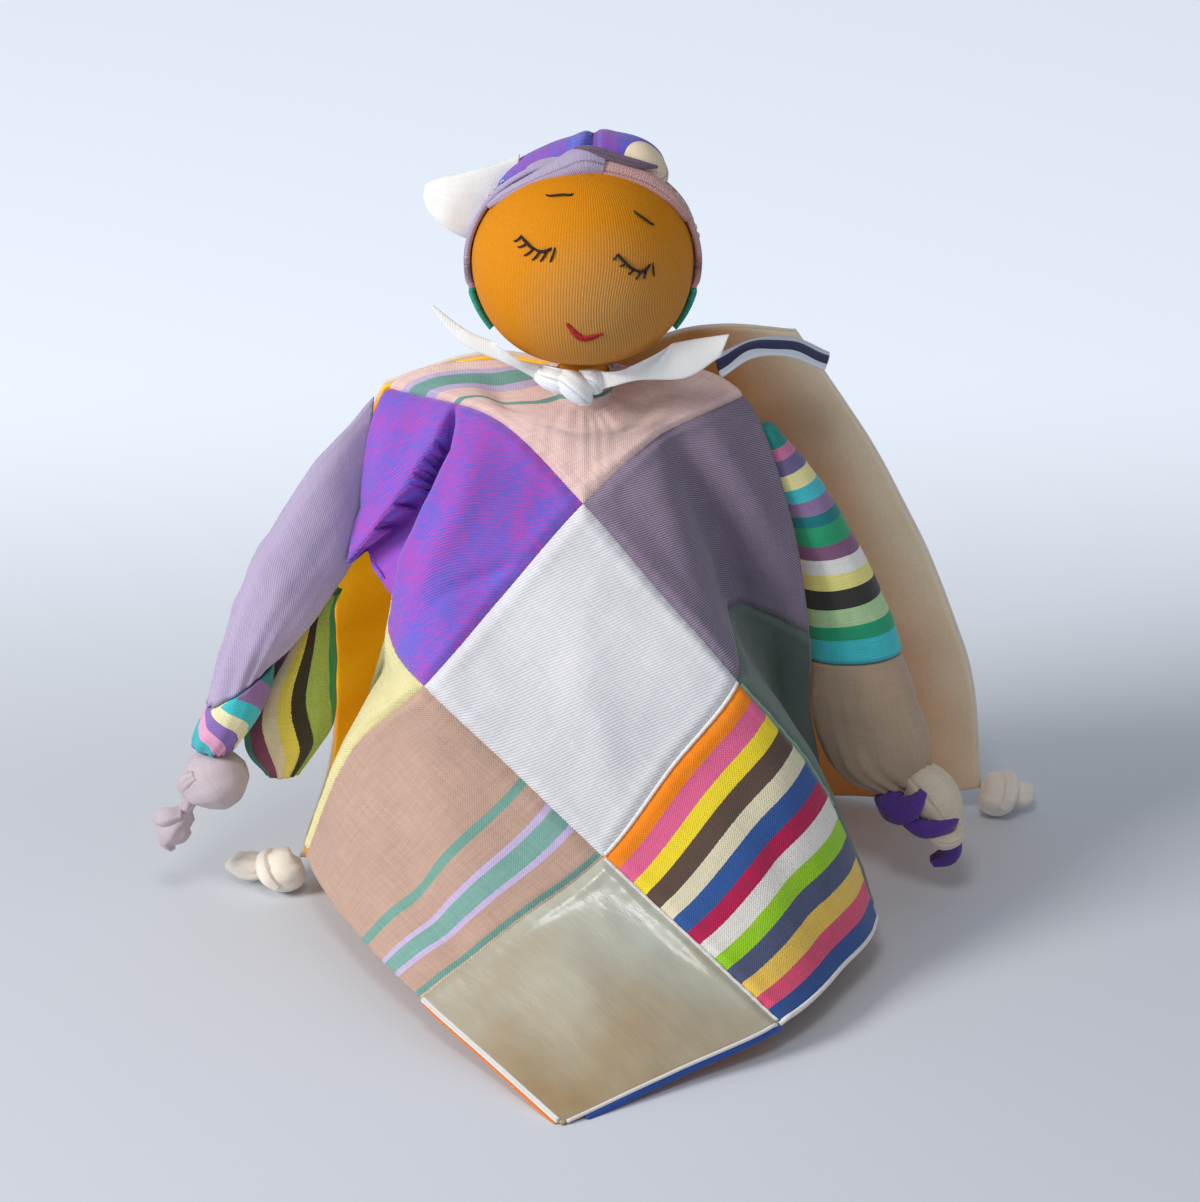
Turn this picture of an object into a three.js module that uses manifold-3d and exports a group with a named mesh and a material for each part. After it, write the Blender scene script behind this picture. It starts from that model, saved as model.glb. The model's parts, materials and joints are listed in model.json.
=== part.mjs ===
// A patchwork rag doll: a knit ball head in a pointed patchwork cap, set on a draped cloth of
// sewn patches whose corners are knotted into hands, with a flannel back cloth behind.
// Millimetres, +Z up, the doll faces -Y, and +X is to the right of someone who looks at its face.

import * as THREE from 'three';
import { mergeVertices } from 'three/addons/utils/BufferGeometryUtils.js';
import Module from 'manifold-3d';

const wasm = await Module();
wasm.setup();

// Driving dimensions
const GAP = 0.3;
const SEAM_GAP = 0.5;

const HEAD_WIDTH = 79;
const HEAD_DEPTH = 74;
const HEAD_HEIGHT = 72;
const HEAD_BASE = 216;
const HEAD_TOP = HEAD_BASE + HEAD_HEIGHT;
const HEAD_SIDE = HEAD_WIDTH / 2;
const SKIN = 1.5;
const SKIN_HOLE = 7;

const NECK_RADIUS = 8.5;
const NECK_LENGTH = 20;
const NECK_TOP = HEAD_BASE - 1;
const NECK_BOTTOM = NECK_TOP - NECK_LENGTH;
const NECK_SHOULDER = 5;
const THREAD = 1.6;
const COLLAR_RADIUS = NECK_RADIUS + GAP + THREAD + GAP;

const HOOD_THICK = 2.2;
const HOOD_FRONT = -3;
const HOOD_NAPE = -23;
const HOOD_SIDE = -6;
const HOOD_BACK_SEAM = HEAD_DEPTH * 0.2;

const PATCH_THICK = 1.6;
const LINING_THICK = 1.0;
const FLANNEL_THICK = 1.6;

const RIBBON_HEIGHT = 4;
const RIBBON_THICK = 1;
const TAIL_PLAY = 0.7;

const LABEL_THICK = 1.6;

const HAND_LEFT_RADIUS = 11.5;
const HAND_RIGHT_RADIUS = 9.5;
const HAND_LEFT_TAIL_RADII = [3, 3, 5.5, 3];
const HAND_RIGHT_WRAP_RADII = [4, 6, 4.5, 4.5, 2.5];
const FOOT_TAIL_RADII = [3, 5, 3];
const FOOT_KNOT_RADIUS = 8.5;

// A knot that the doll stands on is cut flat this deep.
const FLOOR_CUT = 0.5;

// One patch along its seam, and how many steps a patch and the back cloth are drawn in.
const PATCH_SIDE = 88;
const SEAM = SEAM_GAP / 2 / PATCH_SIDE;
const PATCH_STEPS = 8;
const BACK_STEPS = [8, 12];

// Seam crossings of the front cloth. The first index steps down and to the right,
// the second steps down and to the left, one patch at a time from the neck.
const FRONT_CROSSINGS = [
  [[0, 5, 207], [-69, 9, 199.5], [-79.5, -10, 151], [-80, 22, 62]],
  [[57, 5, 198], [0, -24, 169], [-56.5, -50, 110], [-101, -13, 26]],
  [[81, -5, 109], [55, -50, 112.5], [7, -76, 56], [-57, -103, 15]],
  [[87, 12, 46], [105, -44, 18], [69, -116, 12], [-7, -168, 1.2]],
];

// How far the cloth between two crossings, or inside a patch, leaves the straight line.
const FRONT_FOLDS = {
  '0,0.5': [0, 5.5, 5.5],
  '0.5,0': [3, 6, 5.5],
  '0.5,1': [3, -3, 12],
  '1,0.5': [-1, -5, 7],
  '0.5,0.5': [0, -15, -12.5],
  '0,1.5': [-4, -2, 2],
  '0.5,1.5': [-3, -6, 2],
  '0.5,2': [2, 8, 2],
  '0,2.5': [12, 16, -9],
  '1,2.5': [-5, 4, 6],
  '0.5,2.5': [2, -3, 4],
  '1.5,0': [4, 0, 4],
  '2,0.5': [-14, 20, 9],
  '1.5,0.5': [0, -6, 0],
  '1.5,1.5': [0, -4, 2],
  '2.5,0': [-2, 2, 0],
  '3,0.5': [-14, 16, 4],
  '2.5,1': [5, 2, 5],
  '1.5,2.5': [-3, -5, 3],
  '2.5,1.5': [2, -3, 4],
  '1.5,3': [-4, 0, -2],
  '3,1.5': [4, -3, 0],
  '2.5,2.5': [0, 0, 4],
};

// Points of the flannel back cloth, from its left edge to its right edge, top row first.
const BACK_POINTS = [
  [[-71, 11.4, 199], [-36, 15, 208], [1, 13, 207], [42, 42, 208], [77, 50, 204]],
  [[-86, 30, 140], [-46, 50, 140], [8, 60, 140], [60, 64, 140], [111, 56, 145]],
  [[-87.5, 32, 54], [-50, 60, 70], [10, 70, 72], [76, 72, 72], [141, 60, 71]],
  [[-104, 11, 11], [-50, 50, -0.5], [10, 74, -0.5], [80, 78, -0.5], [149, 66, 10]],
];

// Sleeves: stations from the shoulder to the wrist, each with its outer edge, its inner edge
// and half its depth.
const SLEEVE_LEFT = [
  { outer: [-74.3, 10, 195.5], inner: [-77.8, 0, 150], depth: 4 },
  { outer: [-92, -2, 178.5], inner: [-84, -4, 134], depth: 9 },
  { outer: [-112, -8, 152], inner: [-93, -7, 121], depth: 12 },
  { outer: [-123, -8, 128], inner: [-104, -8, 107], depth: 12 },
  { outer: [-136, -6, 82], inner: [-111, -6, 101], depth: 12 },
];
const CUFF_LEFT = [
  { outer: [-136, -6, 81], inner: [-111, -6, 100], depth: 12 },
  { outer: [-141, -5, 70], inner: [-114, -5, 83], depth: 12 },
  { outer: [-142, -4, 65], inner: [-124, -4, 67], depth: 9 },
  { outer: [-139, -4, 62.4], inner: [-129, -4, 62.2], depth: 5 },
];
const SLEEVE_LEFT_INNER = [
  { outer: [-100, 3, 121], inner: [-87, 3, 123], depth: 4 },
  { outer: [-106, 3, 104], inner: [-90, 4, 113], depth: 7 },
  { outer: [-118, 5, 82], inner: [-89.5, 6, 87], depth: 9 },
  { outer: [-124, 7, 60], inner: [-92, 7, 65], depth: 10 },
  { outer: [-116, 7, 47], inner: [-104, 7, 48], depth: 5 },
];
const SLEEVE_RIGHT = [
  { outer: [67.5, 7.3, 186], inner: [61, 7.3, 185.5], depth: 3 },
  { outer: [77, 9.4, 174], inner: [66, 9.4, 169.5], depth: 6 },
  { outer: [89.5, 10.8, 155], inner: [71.5, 10.8, 151], depth: 9 },
  { outer: [100, 13, 134.5], inner: [75.5, 13, 131.5], depth: 11 },
  { outer: [109, 14, 115.5], inner: [78, 14, 111], depth: 12 },
  { outer: [115.5, 13, 95], inner: [80, 14, 93], depth: 12 },
];
const SLEEVE_RIGHT_END = [
  { outer: [115.5, 13, 94], inner: [80, 14, 92], depth: 12 },
  { outer: [121, 12, 78], inner: [83, 13, 72], depth: 13 },
  { outer: [126, 10, 59.5], inner: [89, 11, 51], depth: 12 },
  { outer: [126.5, 9, 50], inner: [104, 9, 40.5], depth: 8 },
  { outer: [124, 8, 45], inner: [113, 8, 41], depth: 5 },
];

// Knots, each with its middle, its size and the path of its free tail.
const HAND_LEFT = [-133.5, -4, 51];
const HAND_LEFT_TAIL = [[-138, -4, 45], [-143, -4, 41], [-148, -4, 34], [-151, -4, 27]];
const HAND_RIGHT = [127.5, 8, 38];
const HAND_RIGHT_WRAP = [[111, 8, 36], [117, 1, 35], [126, -2, 29], [133, 2, 27], [132, 6, 17]];
const FOOT_LEFT = [-110, 5.6, FOOT_KNOT_RADIUS - FLOOR_CUT];
const FOOT_LEFT_TAIL = [[-116, 8, 7], [-124, 11, 6.5], [-131, 13, 6]];
const FOOT_RIGHT = [156, 67, FOOT_KNOT_RADIUS - FLOOR_CUT];
const FOOT_RIGHT_TAIL = [[160, 68, 7], [165, 69.5, 6.5], [169, 71, 6]];

// The ribbon's knot, as the middles of its lobes from the knot's middle and their half sizes.
const RIBBON_LOBES = [
  { middle: [0, 0, 0], size: [8, 5.6, 5.6] },
  { middle: [-8, 1, 1.5], size: [5, 4.5, 4.6] },
  { middle: [6, 0, -3.5], size: [5, 4, 6] },
];

// The knot sits in front of the ribbon's loop round the neck, and each tail's upper and lower
// edge run outwards from it.
const RIBBON_KNOT = [-4, -(NECK_RADIUS + 6.5), NECK_TOP - NECK_SHOULDER + 0.5];
const TAIL_RIGHT = [
  [[4, 1, 3], [14, -0.5, 7.5], [24, -1.5, 12.5], [40, -2, 16.5], [55, -2, 19]],
  [[4, -2, -3.5], [14, -3.5, 0], [24, -4.5, 3], [40, -5, 4], [52, -4, 11.5]],
];
const TAIL_LEFT = [
  [[-8, 0, 4.5], [-21, -2, 13.5], [-34, -1, 18.5], [-41, 1, 22.5], [-49, 3, 28.5]],
  [[-8, -2, 0.5], [-21, -4, 9.5], [-34, -3, 15], [-41, -1, 19.5], [-48, 2, 27.5]],
];

// The label's two edges, from where it is sewn in to its fold.
const LABEL = [
  [[49, 8.5, 203.8], [60, 13, 209.5], [73, 17, 208.5], [86, 20, 202]],
  [[47, 19, 207.3], [61, 25, 211], [75, 29, 210], [88, 32, 203]],
];

// The cap above the hood, seated from the head's top and sides.
const CROWN = { middle: [-1, 9, HEAD_TOP - 9], size: [28, 21, 19] };
const RIDGE = { middle: [-4, -1, HEAD_TOP - 3], size: [21, 7, 9] };
const BUMP = { middle: [HEAD_SIDE - 18.5, 6, HEAD_TOP - 5], size: [11, 14, 12.5] };
const TIP = [
  { outer: [14.5 - HEAD_SIDE, 5, HEAD_TOP], inner: [6.5 - HEAD_SIDE, 2, HEAD_TOP - 26], depth: 6 },
  { outer: [3.5 - HEAD_SIDE, 4, HEAD_TOP - 2.5], inner: [-0.5 - HEAD_SIDE, 1, HEAD_TOP - 26], depth: 5.5 },
  { outer: [-6.5 - HEAD_SIDE, 4, HEAD_TOP - 5.5], inner: [-8.5 - HEAD_SIDE, 1, HEAD_TOP - 22], depth: 4 },
  { outer: [-14.5 - HEAD_SIDE, 4, HEAD_TOP - 8.5], inner: [-16 - HEAD_SIDE, 3, HEAD_TOP - 15], depth: 2.5 },
];

const COLOURS = {
  knit: '#c4761c',
  wool: '#efe6d6',
  thread: '#2a2320',
  lips: '#c21f24',
  mauve: '#8d7792',
  violet: '#5a3aa8',
  peach: '#dbb49c',
  cream: '#ecdcc6',
  white: '#d9d3cd',
  yellow: '#e6dc8e',
  green: '#62756c',
  satin: '#cfc7a8',
  stripes: '#d9763a',
  teal: '#2f8f7d',
  pink: '#c47a92',
  linen: '#cdb9a8',
  purple: '#5b3a93',
  orange: '#d9862f',
  blue: '#3560a8',
  ribbon: '#f1efe9',
  tape: '#dfe6ee',
};

const doll = new THREE.Group();

function point(x, y, z) {
  return new THREE.Vector3(x, y, z);
}

function cloth(name, geometry, colour, roughness = 0.9) {
  const material = new THREE.MeshStandardMaterial({ color: colour, roughness, metalness: 0 });
  const mesh = new THREE.Mesh(geometry, material);
  mesh.name = name;
  doll.add(mesh);
  return mesh;
}

function indexedGeometry(points, triangles) {
  const geometry = new THREE.BufferGeometry();
  const numbers = points.flatMap((p) => [p.x, p.y, p.z]);
  geometry.setAttribute('position', new THREE.Float32BufferAttribute(numbers, 3));
  geometry.setIndex(triangles);
  return geometry;
}

// Booleans

function toSolid(geometry) {
  let plain = geometry.clone();
  plain.deleteAttribute('normal');
  plain.deleteAttribute('uv');
  plain = mergeVertices(plain, 1e-4);
  return new wasm.Manifold(new wasm.Mesh({
    numProp: 3,
    vertProperties: new Float32Array(plain.attributes.position.array),
    triVerts: new Uint32Array(plain.index.array),
  }));
}

function toGeometry(solid) {
  const mesh = solid.getMesh();
  const geometry = new THREE.BufferGeometry();
  geometry.setAttribute('position', new THREE.BufferAttribute(new Float32Array(mesh.vertProperties), 3));
  geometry.setIndex(new THREE.BufferAttribute(new Uint32Array(mesh.triVerts), 1));
  return geometry;
}

function joinAll(geometries) {
  return geometries.map(toSolid).reduce((all, next) => all.add(next));
}

// The largest of the pieces that a cut leaves.
function mainPiece(solid) {
  return solid.decompose().reduce((best, piece) => (piece.volume() > best.volume() ? piece : best));
}

function cutBy(geometry, ...tools) {
  const rest = tools.map(toSolid).reduce((solid, tool) => solid.subtract(tool), toSolid(geometry));
  return toGeometry(mainPiece(rest));
}

// The collar: what the neck and its bands pass through.
function neckHole() {
  return upright(COLLAR_RADIUS, NECK_BOTTOM - 2 * NECK_LENGTH, NECK_TOP + NECK_LENGTH / 2);
}

// Everything below the floor, wider than the doll.
function floorSlab() {
  const width = 8 * PATCH_SIDE;
  const slab = new THREE.BoxGeometry(width, width, PATCH_SIDE);
  slab.translate(0, 0, -PATCH_SIDE / 2);
  return slab;
}

// Sheets: a surface given by a function of two numbers, made into a closed solid between
// two distances along its outward normal.

function outwardNormal(surface, u, v) {
  const step = 0.01;
  const du = surface(u + step, v).sub(surface(u - step, v));
  const dv = surface(u, v + step).sub(surface(u, v - step));
  return dv.cross(du).normalize();
}

function evenSteps([start, end], count, inset = 0) {
  return Array.from({ length: count + 1 }, (_, k) => {
    const even = start + (end - start) * k / count;
    return THREE.MathUtils.clamp(even, start + inset, end - inset);
  });
}

function sheet(surface, listU, listV, outside, inside) {
  const points = [];
  const triangles = [];
  const stepsU = listU.length - 1;
  const stepsV = listV.length - 1;
  const columns = stepsV + 1;
  const layer = (stepsU + 1) * columns;
  for (const distance of [outside, inside]) {
    for (const u of listU) {
      for (const v of listV) {
        points.push(surface(u, v).addScaledVector(outwardNormal(surface, u, v), distance));
      }
    }
  }
  const quad = (a, b, c, d) => triangles.push(a, b, c, a, c, d);
  for (let i = 0; i < stepsU; i += 1) {
    for (let j = 0; j < stepsV; j += 1) {
      const a = i * columns + j;
      const b = a + 1;
      const c = b + columns;
      const d = a + columns;
      quad(a, b, c, d);
      quad(layer + a, layer + d, layer + c, layer + b);
    }
  }
  for (let j = 0; j < stepsV; j += 1) {
    const near = j;
    const far = stepsU * columns + j;
    quad(near, layer + near, layer + near + 1, near + 1);
    quad(far, far + 1, layer + far + 1, layer + far);
  }
  for (let i = 0; i < stepsU; i += 1) {
    const near = i * columns;
    const far = near + stepsV;
    quad(near, near + columns, layer + near + columns, layer + near);
    quad(far, layer + far, layer + far + columns, far + columns);
  }
  return indexedGeometry(points, triangles);
}

// A smooth surface through a net of points, in steps of one per point.

function netSurface(net) {
  const rows = net.map((row) => new THREE.CatmullRomCurve3(row, false, 'catmullrom', 0.5));
  const lastRow = net.length - 1;
  const lastColumn = net[0].length - 1;
  const along = (curve, t) => {
    const inside = THREE.MathUtils.clamp(t, 0, 1);
    const end = curve.getPoint(inside);
    return inside === t ? end : end.addScaledVector(curve.getPoint(inside - Math.sign(t) * 0.01).sub(end),
      -Math.abs(t - inside) / 0.01);
  };
  return (a, b) => {
    const column = rows.map((row) => along(row, b / lastColumn));
    return along(new THREE.CatmullRomCurve3(column, false, 'catmullrom', 0.5), a / lastRow);
  };
}

// Lofts: rings of equal count joined into one closed solid, with flat fans at both ends.

function ring(centre, sideways, forwards, sides) {
  const points = [];
  for (let k = 0; k < sides; k += 1) {
    const angle = 2 * Math.PI * k / sides;
    points.push(centre.clone().addScaledVector(sideways, Math.cos(angle))
      .addScaledVector(forwards, Math.sin(angle)));
  }
  return points;
}

function loft(rings) {
  const sides = rings[0].length;
  const points = rings.flat();
  const triangles = [];
  for (let r = 0; r + 1 < rings.length; r += 1) {
    for (let k = 0; k < sides; k += 1) {
      const a = r * sides + k;
      const b = r * sides + (k + 1) % sides;
      triangles.push(a, b, b + sides, a, b + sides, a + sides);
    }
  }
  const cap = (first, flip) => {
    const middle = points.length;
    const sum = point(0, 0, 0);
    for (let k = 0; k < sides; k += 1) {
      sum.add(points[first + k]);
    }
    points.push(sum.divideScalar(sides));
    for (let k = 0; k < sides; k += 1) {
      const a = first + k;
      const b = first + (k + 1) % sides;
      triangles.push(...(flip ? [middle, b, a] : [middle, a, b]));
    }
  };
  cap(0, true);
  cap((rings.length - 1) * sides, false);
  const geometry = indexedGeometry(points, triangles);
  return signedVolume(geometry) < 0 ? turnedInsideOut(geometry) : geometry;
}

function signedVolume(geometry) {
  const at = geometry.attributes.position;
  const index = geometry.index.array;
  const corner = (k) => new THREE.Vector3().fromBufferAttribute(at, index[k]);
  let volume = 0;
  for (let k = 0; k < index.length; k += 3) {
    volume += corner(k).dot(corner(k + 1).cross(corner(k + 2))) / 6;
  }
  return volume;
}

function turnedInsideOut(geometry) {
  const index = Array.from(geometry.index.array);
  for (let k = 0; k < index.length; k += 3) {
    [index[k + 1], index[k + 2]] = [index[k + 2], index[k + 1]];
  }
  geometry.setIndex(index);
  return geometry;
}

function roundTube(stations, sides) {
  const path = new THREE.CatmullRomCurve3(stations.map(([centre]) => centre));
  const count = stations.length;
  const frames = path.computeFrenetFrames(count - 1, false);
  return loft(stations.map(([centre, radius], k) => ring(centre,
    frames.normals[k].clone().multiplyScalar(radius),
    frames.binormals[k].clone().multiplyScalar(radius), sides)));
}

function ball(centre, rx, ry, rz, detail = 12) {
  const geometry = new THREE.SphereGeometry(1, detail, Math.round(detail * 0.7));
  geometry.rotateX(Math.PI / 2);
  geometry.scale(rx, ry, rz);
  geometry.translate(centre.x, centre.y, centre.z);
  return geometry;
}

// Front cloth

function frontNet() {
  const size = 2 * FRONT_CROSSINGS.length - 1;
  const net = Array.from({ length: size }, () => new Array(size));
  const crossing = (i, j) => point(...FRONT_CROSSINGS[i / 2][j / 2]);
  const fold = (i, j) => point(...(FRONT_FOLDS[`${i / 2},${j / 2}`] ?? [0, 0, 0]));
  const halfway = (a, b) => a.clone().add(b).multiplyScalar(0.5);
  for (let i = 0; i < size; i += 1) {
    for (let j = 0; j < size; j += 1) {
      if (i % 2 === 0 && j % 2 === 0) {
        net[i][j] = crossing(i, j);
      } else if (i % 2 === 0) {
        net[i][j] = halfway(crossing(i, j - 1), crossing(i, j + 1)).add(fold(i, j));
      } else if (j % 2 === 0) {
        net[i][j] = halfway(crossing(i - 1, j), crossing(i + 1, j)).add(fold(i, j));
      }
    }
  }
  for (let i = 1; i < size; i += 2) {
    for (let j = 1; j < size; j += 2) {
      const sides = halfway(net[i - 1][j], net[i + 1][j]).add(halfway(net[i][j - 1], net[i][j + 1]));
      const upper = halfway(net[i - 1][j - 1], net[i + 1][j + 1]);
      const lower = halfway(net[i - 1][j + 1], net[i + 1][j - 1]);
      net[i][j] = sides.sub(halfway(upper, lower)).add(fold(i, j));
    }
  }
  return net;
}

const frontHalfSteps = netSurface(frontNet());
const frontSurface = (u, v) => frontHalfSteps(2 * u, 2 * v);

function frontPanel(name, [u0, u1], [v0, v1], outside, inside, colour, roughness) {
  const listU = evenSteps([u0, u1], PATCH_STEPS * (u1 - u0), SEAM);
  const listV = evenSteps([v0, v1], PATCH_STEPS * (v1 - v0), SEAM);
  const panel = sheet(frontSurface, listU, listV, outside, inside);
  cloth(name, cutBy(panel, floorSlab(), neckHole()), colour, roughness);
}

function makeFront() {
  const patches = [
    ['patch_peach_chest', 0, 0, COLOURS.peach],
    ['patch_violet_chest', 0, 1, COLOURS.violet],
    ['patch_yellow_side', 0, 2, COLOURS.yellow],
    ['patch_mauve_chest', 1, 0, COLOURS.mauve],
    ['patch_white_belly', 1, 1, COLOURS.white],
    ['patch_peach_hip', 1, 2, COLOURS.peach],
    ['patch_green_side', 2, 0, COLOURS.green],
    ['patch_striped_hip', 2, 1, COLOURS.stripes],
    ['patch_satin_corner', 2, 2, COLOURS.satin, 0.3],
  ];
  for (const [name, u, v, colour, roughness] of patches) {
    frontPanel(name, [u, u + 1], [v, v + 1], 0, -PATCH_THICK, colour, roughness);
  }
  const under = -PATCH_THICK - GAP;
  frontPanel('lining_chest', [0, 1], [0, 2], under, under - LINING_THICK, COLOURS.cream);
  frontPanel('lining_orange', [1, 3], [2, 3], under, under - LINING_THICK, COLOURS.orange);
  frontPanel('lining_blue', [2, 3], [1, 2], under, under - LINING_THICK, COLOURS.blue);
}

// Back cloth

const backRows = netSurface(BACK_POINTS.map((row) => row.map((p) => point(...p))));
const backSurface = (s, t) => backRows(t, s);

function makeBack() {
  const half = (BACK_POINTS[0].length - 1) / 2;
  const depth = BACK_POINTS.length - 1;
  const behind = -LINING_THICK - GAP;
  const rows = evenSteps([0, depth], BACK_STEPS[1], SEAM);
  for (const [side, span] of [['left', [0, half]], ['right', [half, 2 * half]]]) {
    const columns = evenSteps(span, BACK_STEPS[0], SEAM);
    const outer = sheet(backSurface, columns, rows, behind, behind - FLANNEL_THICK);
    const knots = [footBall(FOOT_LEFT, GAP), footBall(FOOT_RIGHT, GAP)];
    cloth(`back_cloth_${side}`, cutBy(outer, floorSlab(), neckHole(), ...knots), COLOURS.cream);
    const inner = sheet(backSurface, columns, rows, 0, -LINING_THICK);
    cloth(`back_lining_${side}`, cutBy(inner, floorSlab(), neckHole(), ...knots),
      side === 'left' ? COLOURS.orange : COLOURS.cream);
  }
}

// Head

const HEAD_CENTRE = point(0, 0, HEAD_BASE + HEAD_HEIGHT / 2);
const HEAD_SIDES = 20;
const CORE_SIDES = 16;

function headBall(extra, detail = HEAD_SIDES) {
  return ball(HEAD_CENTRE, HEAD_WIDTH / 2 + extra, HEAD_DEPTH / 2 + extra, HEAD_HEIGHT / 2 + extra, detail);
}

// A point on the head from its place across and up, as seen from the front.
function onFace(across, up, lift) {
  const a = HEAD_WIDTH / 2 + lift;
  const b = HEAD_DEPTH / 2 + lift;
  const c = HEAD_HEIGHT / 2 + lift;
  const depth = Math.sqrt(Math.max(0, 1 - (across / a) ** 2 - (up / c) ** 2));
  return point(across, -b * depth, HEAD_CENTRE.z + up);
}

function upright(radius, bottom, top, sides = 16) {
  const rod = new THREE.CylinderGeometry(radius, radius, top - bottom, sides);
  rod.rotateX(Math.PI / 2);
  rod.translate(0, 0, (top + bottom) / 2);
  return rod;
}

function makeHead() {
  const hole = upright(SKIN_HOLE, HEAD_BASE - NECK_SHOULDER, HEAD_CENTRE.z - HEAD_HEIGHT / 4);
  const inside = headBall(-SKIN, CORE_SIDES);
  const skin = toSolid(headBall(0)).subtract(toSolid(inside)).subtract(toSolid(hole));
  cloth('head_skin', toGeometry(skin), COLOURS.knit);
  cloth('head_core', headBall(-SKIN - GAP, CORE_SIDES), COLOURS.wool);
}

function stitchLine(points, radius) {
  const curve = new THREE.CatmullRomCurve3(points.map(([x, z]) => onFace(x, z, radius + GAP)));
  const stations = curve.getPoints(2 * points.length - 2).map((p) => [p, radius]);
  return roundTube(stations, 5);
}

const BROW_RADIUS = 0.35;
const LID_RADIUS = 0.5;
const LASH_RADIUS = 0.35;

// Brows, lids and lash tips, across and up from the middle of the head.
const BROWS = {
  left: [[-12.7, 30.3], [-7.5, 31.4], [-3.3, 31.4]],
  right: [[17.8, 25.8], [21.6, 23.3], [24.7, 20.6]],
};
const EYES = {
  left: {
    lid: [[-21.3, 18.5], [-15.8, 15.5], [-9.5, 17]],
    lashes: [[-23.8, 16.4], [-22.4, 15], [-20.3, 12.9], [-17.5, 12], [-14.7, 12], [-11.3, 12.2]],
  },
  right: {
    lid: [[12.2, 14.6], [19.1, 8.2], [24.3, 9.7]],
    lashes: [[10.5, 13.2], [12.9, 10.8], [15.7, 7.8], [18.4, 5.5], [21.2, 5], [24.7, 5]],
  },
};
const MOUTH = { left: [-5.8, -9], low: [-0.2, -15.6], right: [7.4, -13.8], thick: 1.8, corner: 0.35 };

function makeFace() {
  for (const side of ['left', 'right']) {
    cloth(`brow_${side}`, stitchLine(BROWS[side], BROW_RADIUS), COLOURS.thread);
    const { lid, lashes } = EYES[side];
    const lidCurve = new THREE.CatmullRomCurve3(lid.map(([x, z]) => point(x, 0, z)));
    const pieces = [stitchLine(lid, LID_RADIUS)];
    lashes.forEach((tip, k) => {
      const root = lidCurve.getPoint(k / (lashes.length - 1));
      pieces.push(stitchLine([[root.x, root.z], tip], LASH_RADIUS));
    });
    cloth(`eye_${side}`, toGeometry(joinAll(pieces)), COLOURS.thread);
  }
  const { left, low, right, thick, corner } = MOUTH;
  const curve = new THREE.CatmullRomCurve3([left, low, right].map(([x, z]) => onFace(x, z, thick / 2)));
  const count = 8;
  const stations = curve.getPoints(count).map((p, k) => {
    const width = corner + (thick - corner) * Math.sin(Math.PI * k / count);
    return [onFace(p.x, p.z - HEAD_CENTRE.z, width / 2 + GAP), width / 2];
  });
  cloth('mouth', roundTube(stations, 8), COLOURS.lips);
}

function makeNeck() {
  const tip = HEAD_BASE + SKIN;
  const profile = [
    [0, NECK_BOTTOM],
    [NECK_RADIUS, NECK_BOTTOM],
    [NECK_RADIUS, NECK_TOP - NECK_SHOULDER],
    [NECK_RADIUS * 0.8, NECK_TOP - NECK_SHOULDER * 0.45],
    [NECK_RADIUS * 0.45, NECK_TOP],
    [NECK_RADIUS * 0.2, tip - NECK_RADIUS * 0.08],
    [0, tip],
  ].map(([r, z]) => new THREE.Vector2(r, z));
  const stub = new THREE.LatheGeometry(profile, 16);
  stub.rotateX(Math.PI / 2);
  cloth('neck_stub', stub, COLOURS.knit);
  bandRound('neck_thread', THREAD, THREAD * 2, NECK_BOTTOM + NECK_SHOULDER, COLOURS.wool);
  const ribbonBottom = NECK_TOP - NECK_SHOULDER - RIBBON_HEIGHT;
  bandRound('ribbon_loop', RIBBON_THICK, RIBBON_HEIGHT, ribbonBottom, COLOURS.ribbon);
}

// A band tied round the neck.
function bandRound(name, thick, height, bottom, colour) {
  const inner = NECK_RADIUS + GAP;
  const profile = [[inner, 0], [inner + thick, 0], [inner + thick, height], [inner, height], [inner, 0]]
    .map(([r, z]) => new THREE.Vector2(r, bottom + z));
  const band = new THREE.LatheGeometry(profile, 16);
  band.rotateX(Math.PI / 2);
  cloth(name, band, colour);
}

// Cap

function box(from, to) {
  const size = to.map((value, k) => value - from[k]);
  const block = new THREE.BoxGeometry(...size);
  block.translate(...to.map((value, k) => (value + from[k]) / 2));
  return block;
}

function placedBall({ middle, size }, extra = 0) {
  return ball(point(...middle), ...size.map((radius) => radius + extra), 14);
}

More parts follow.
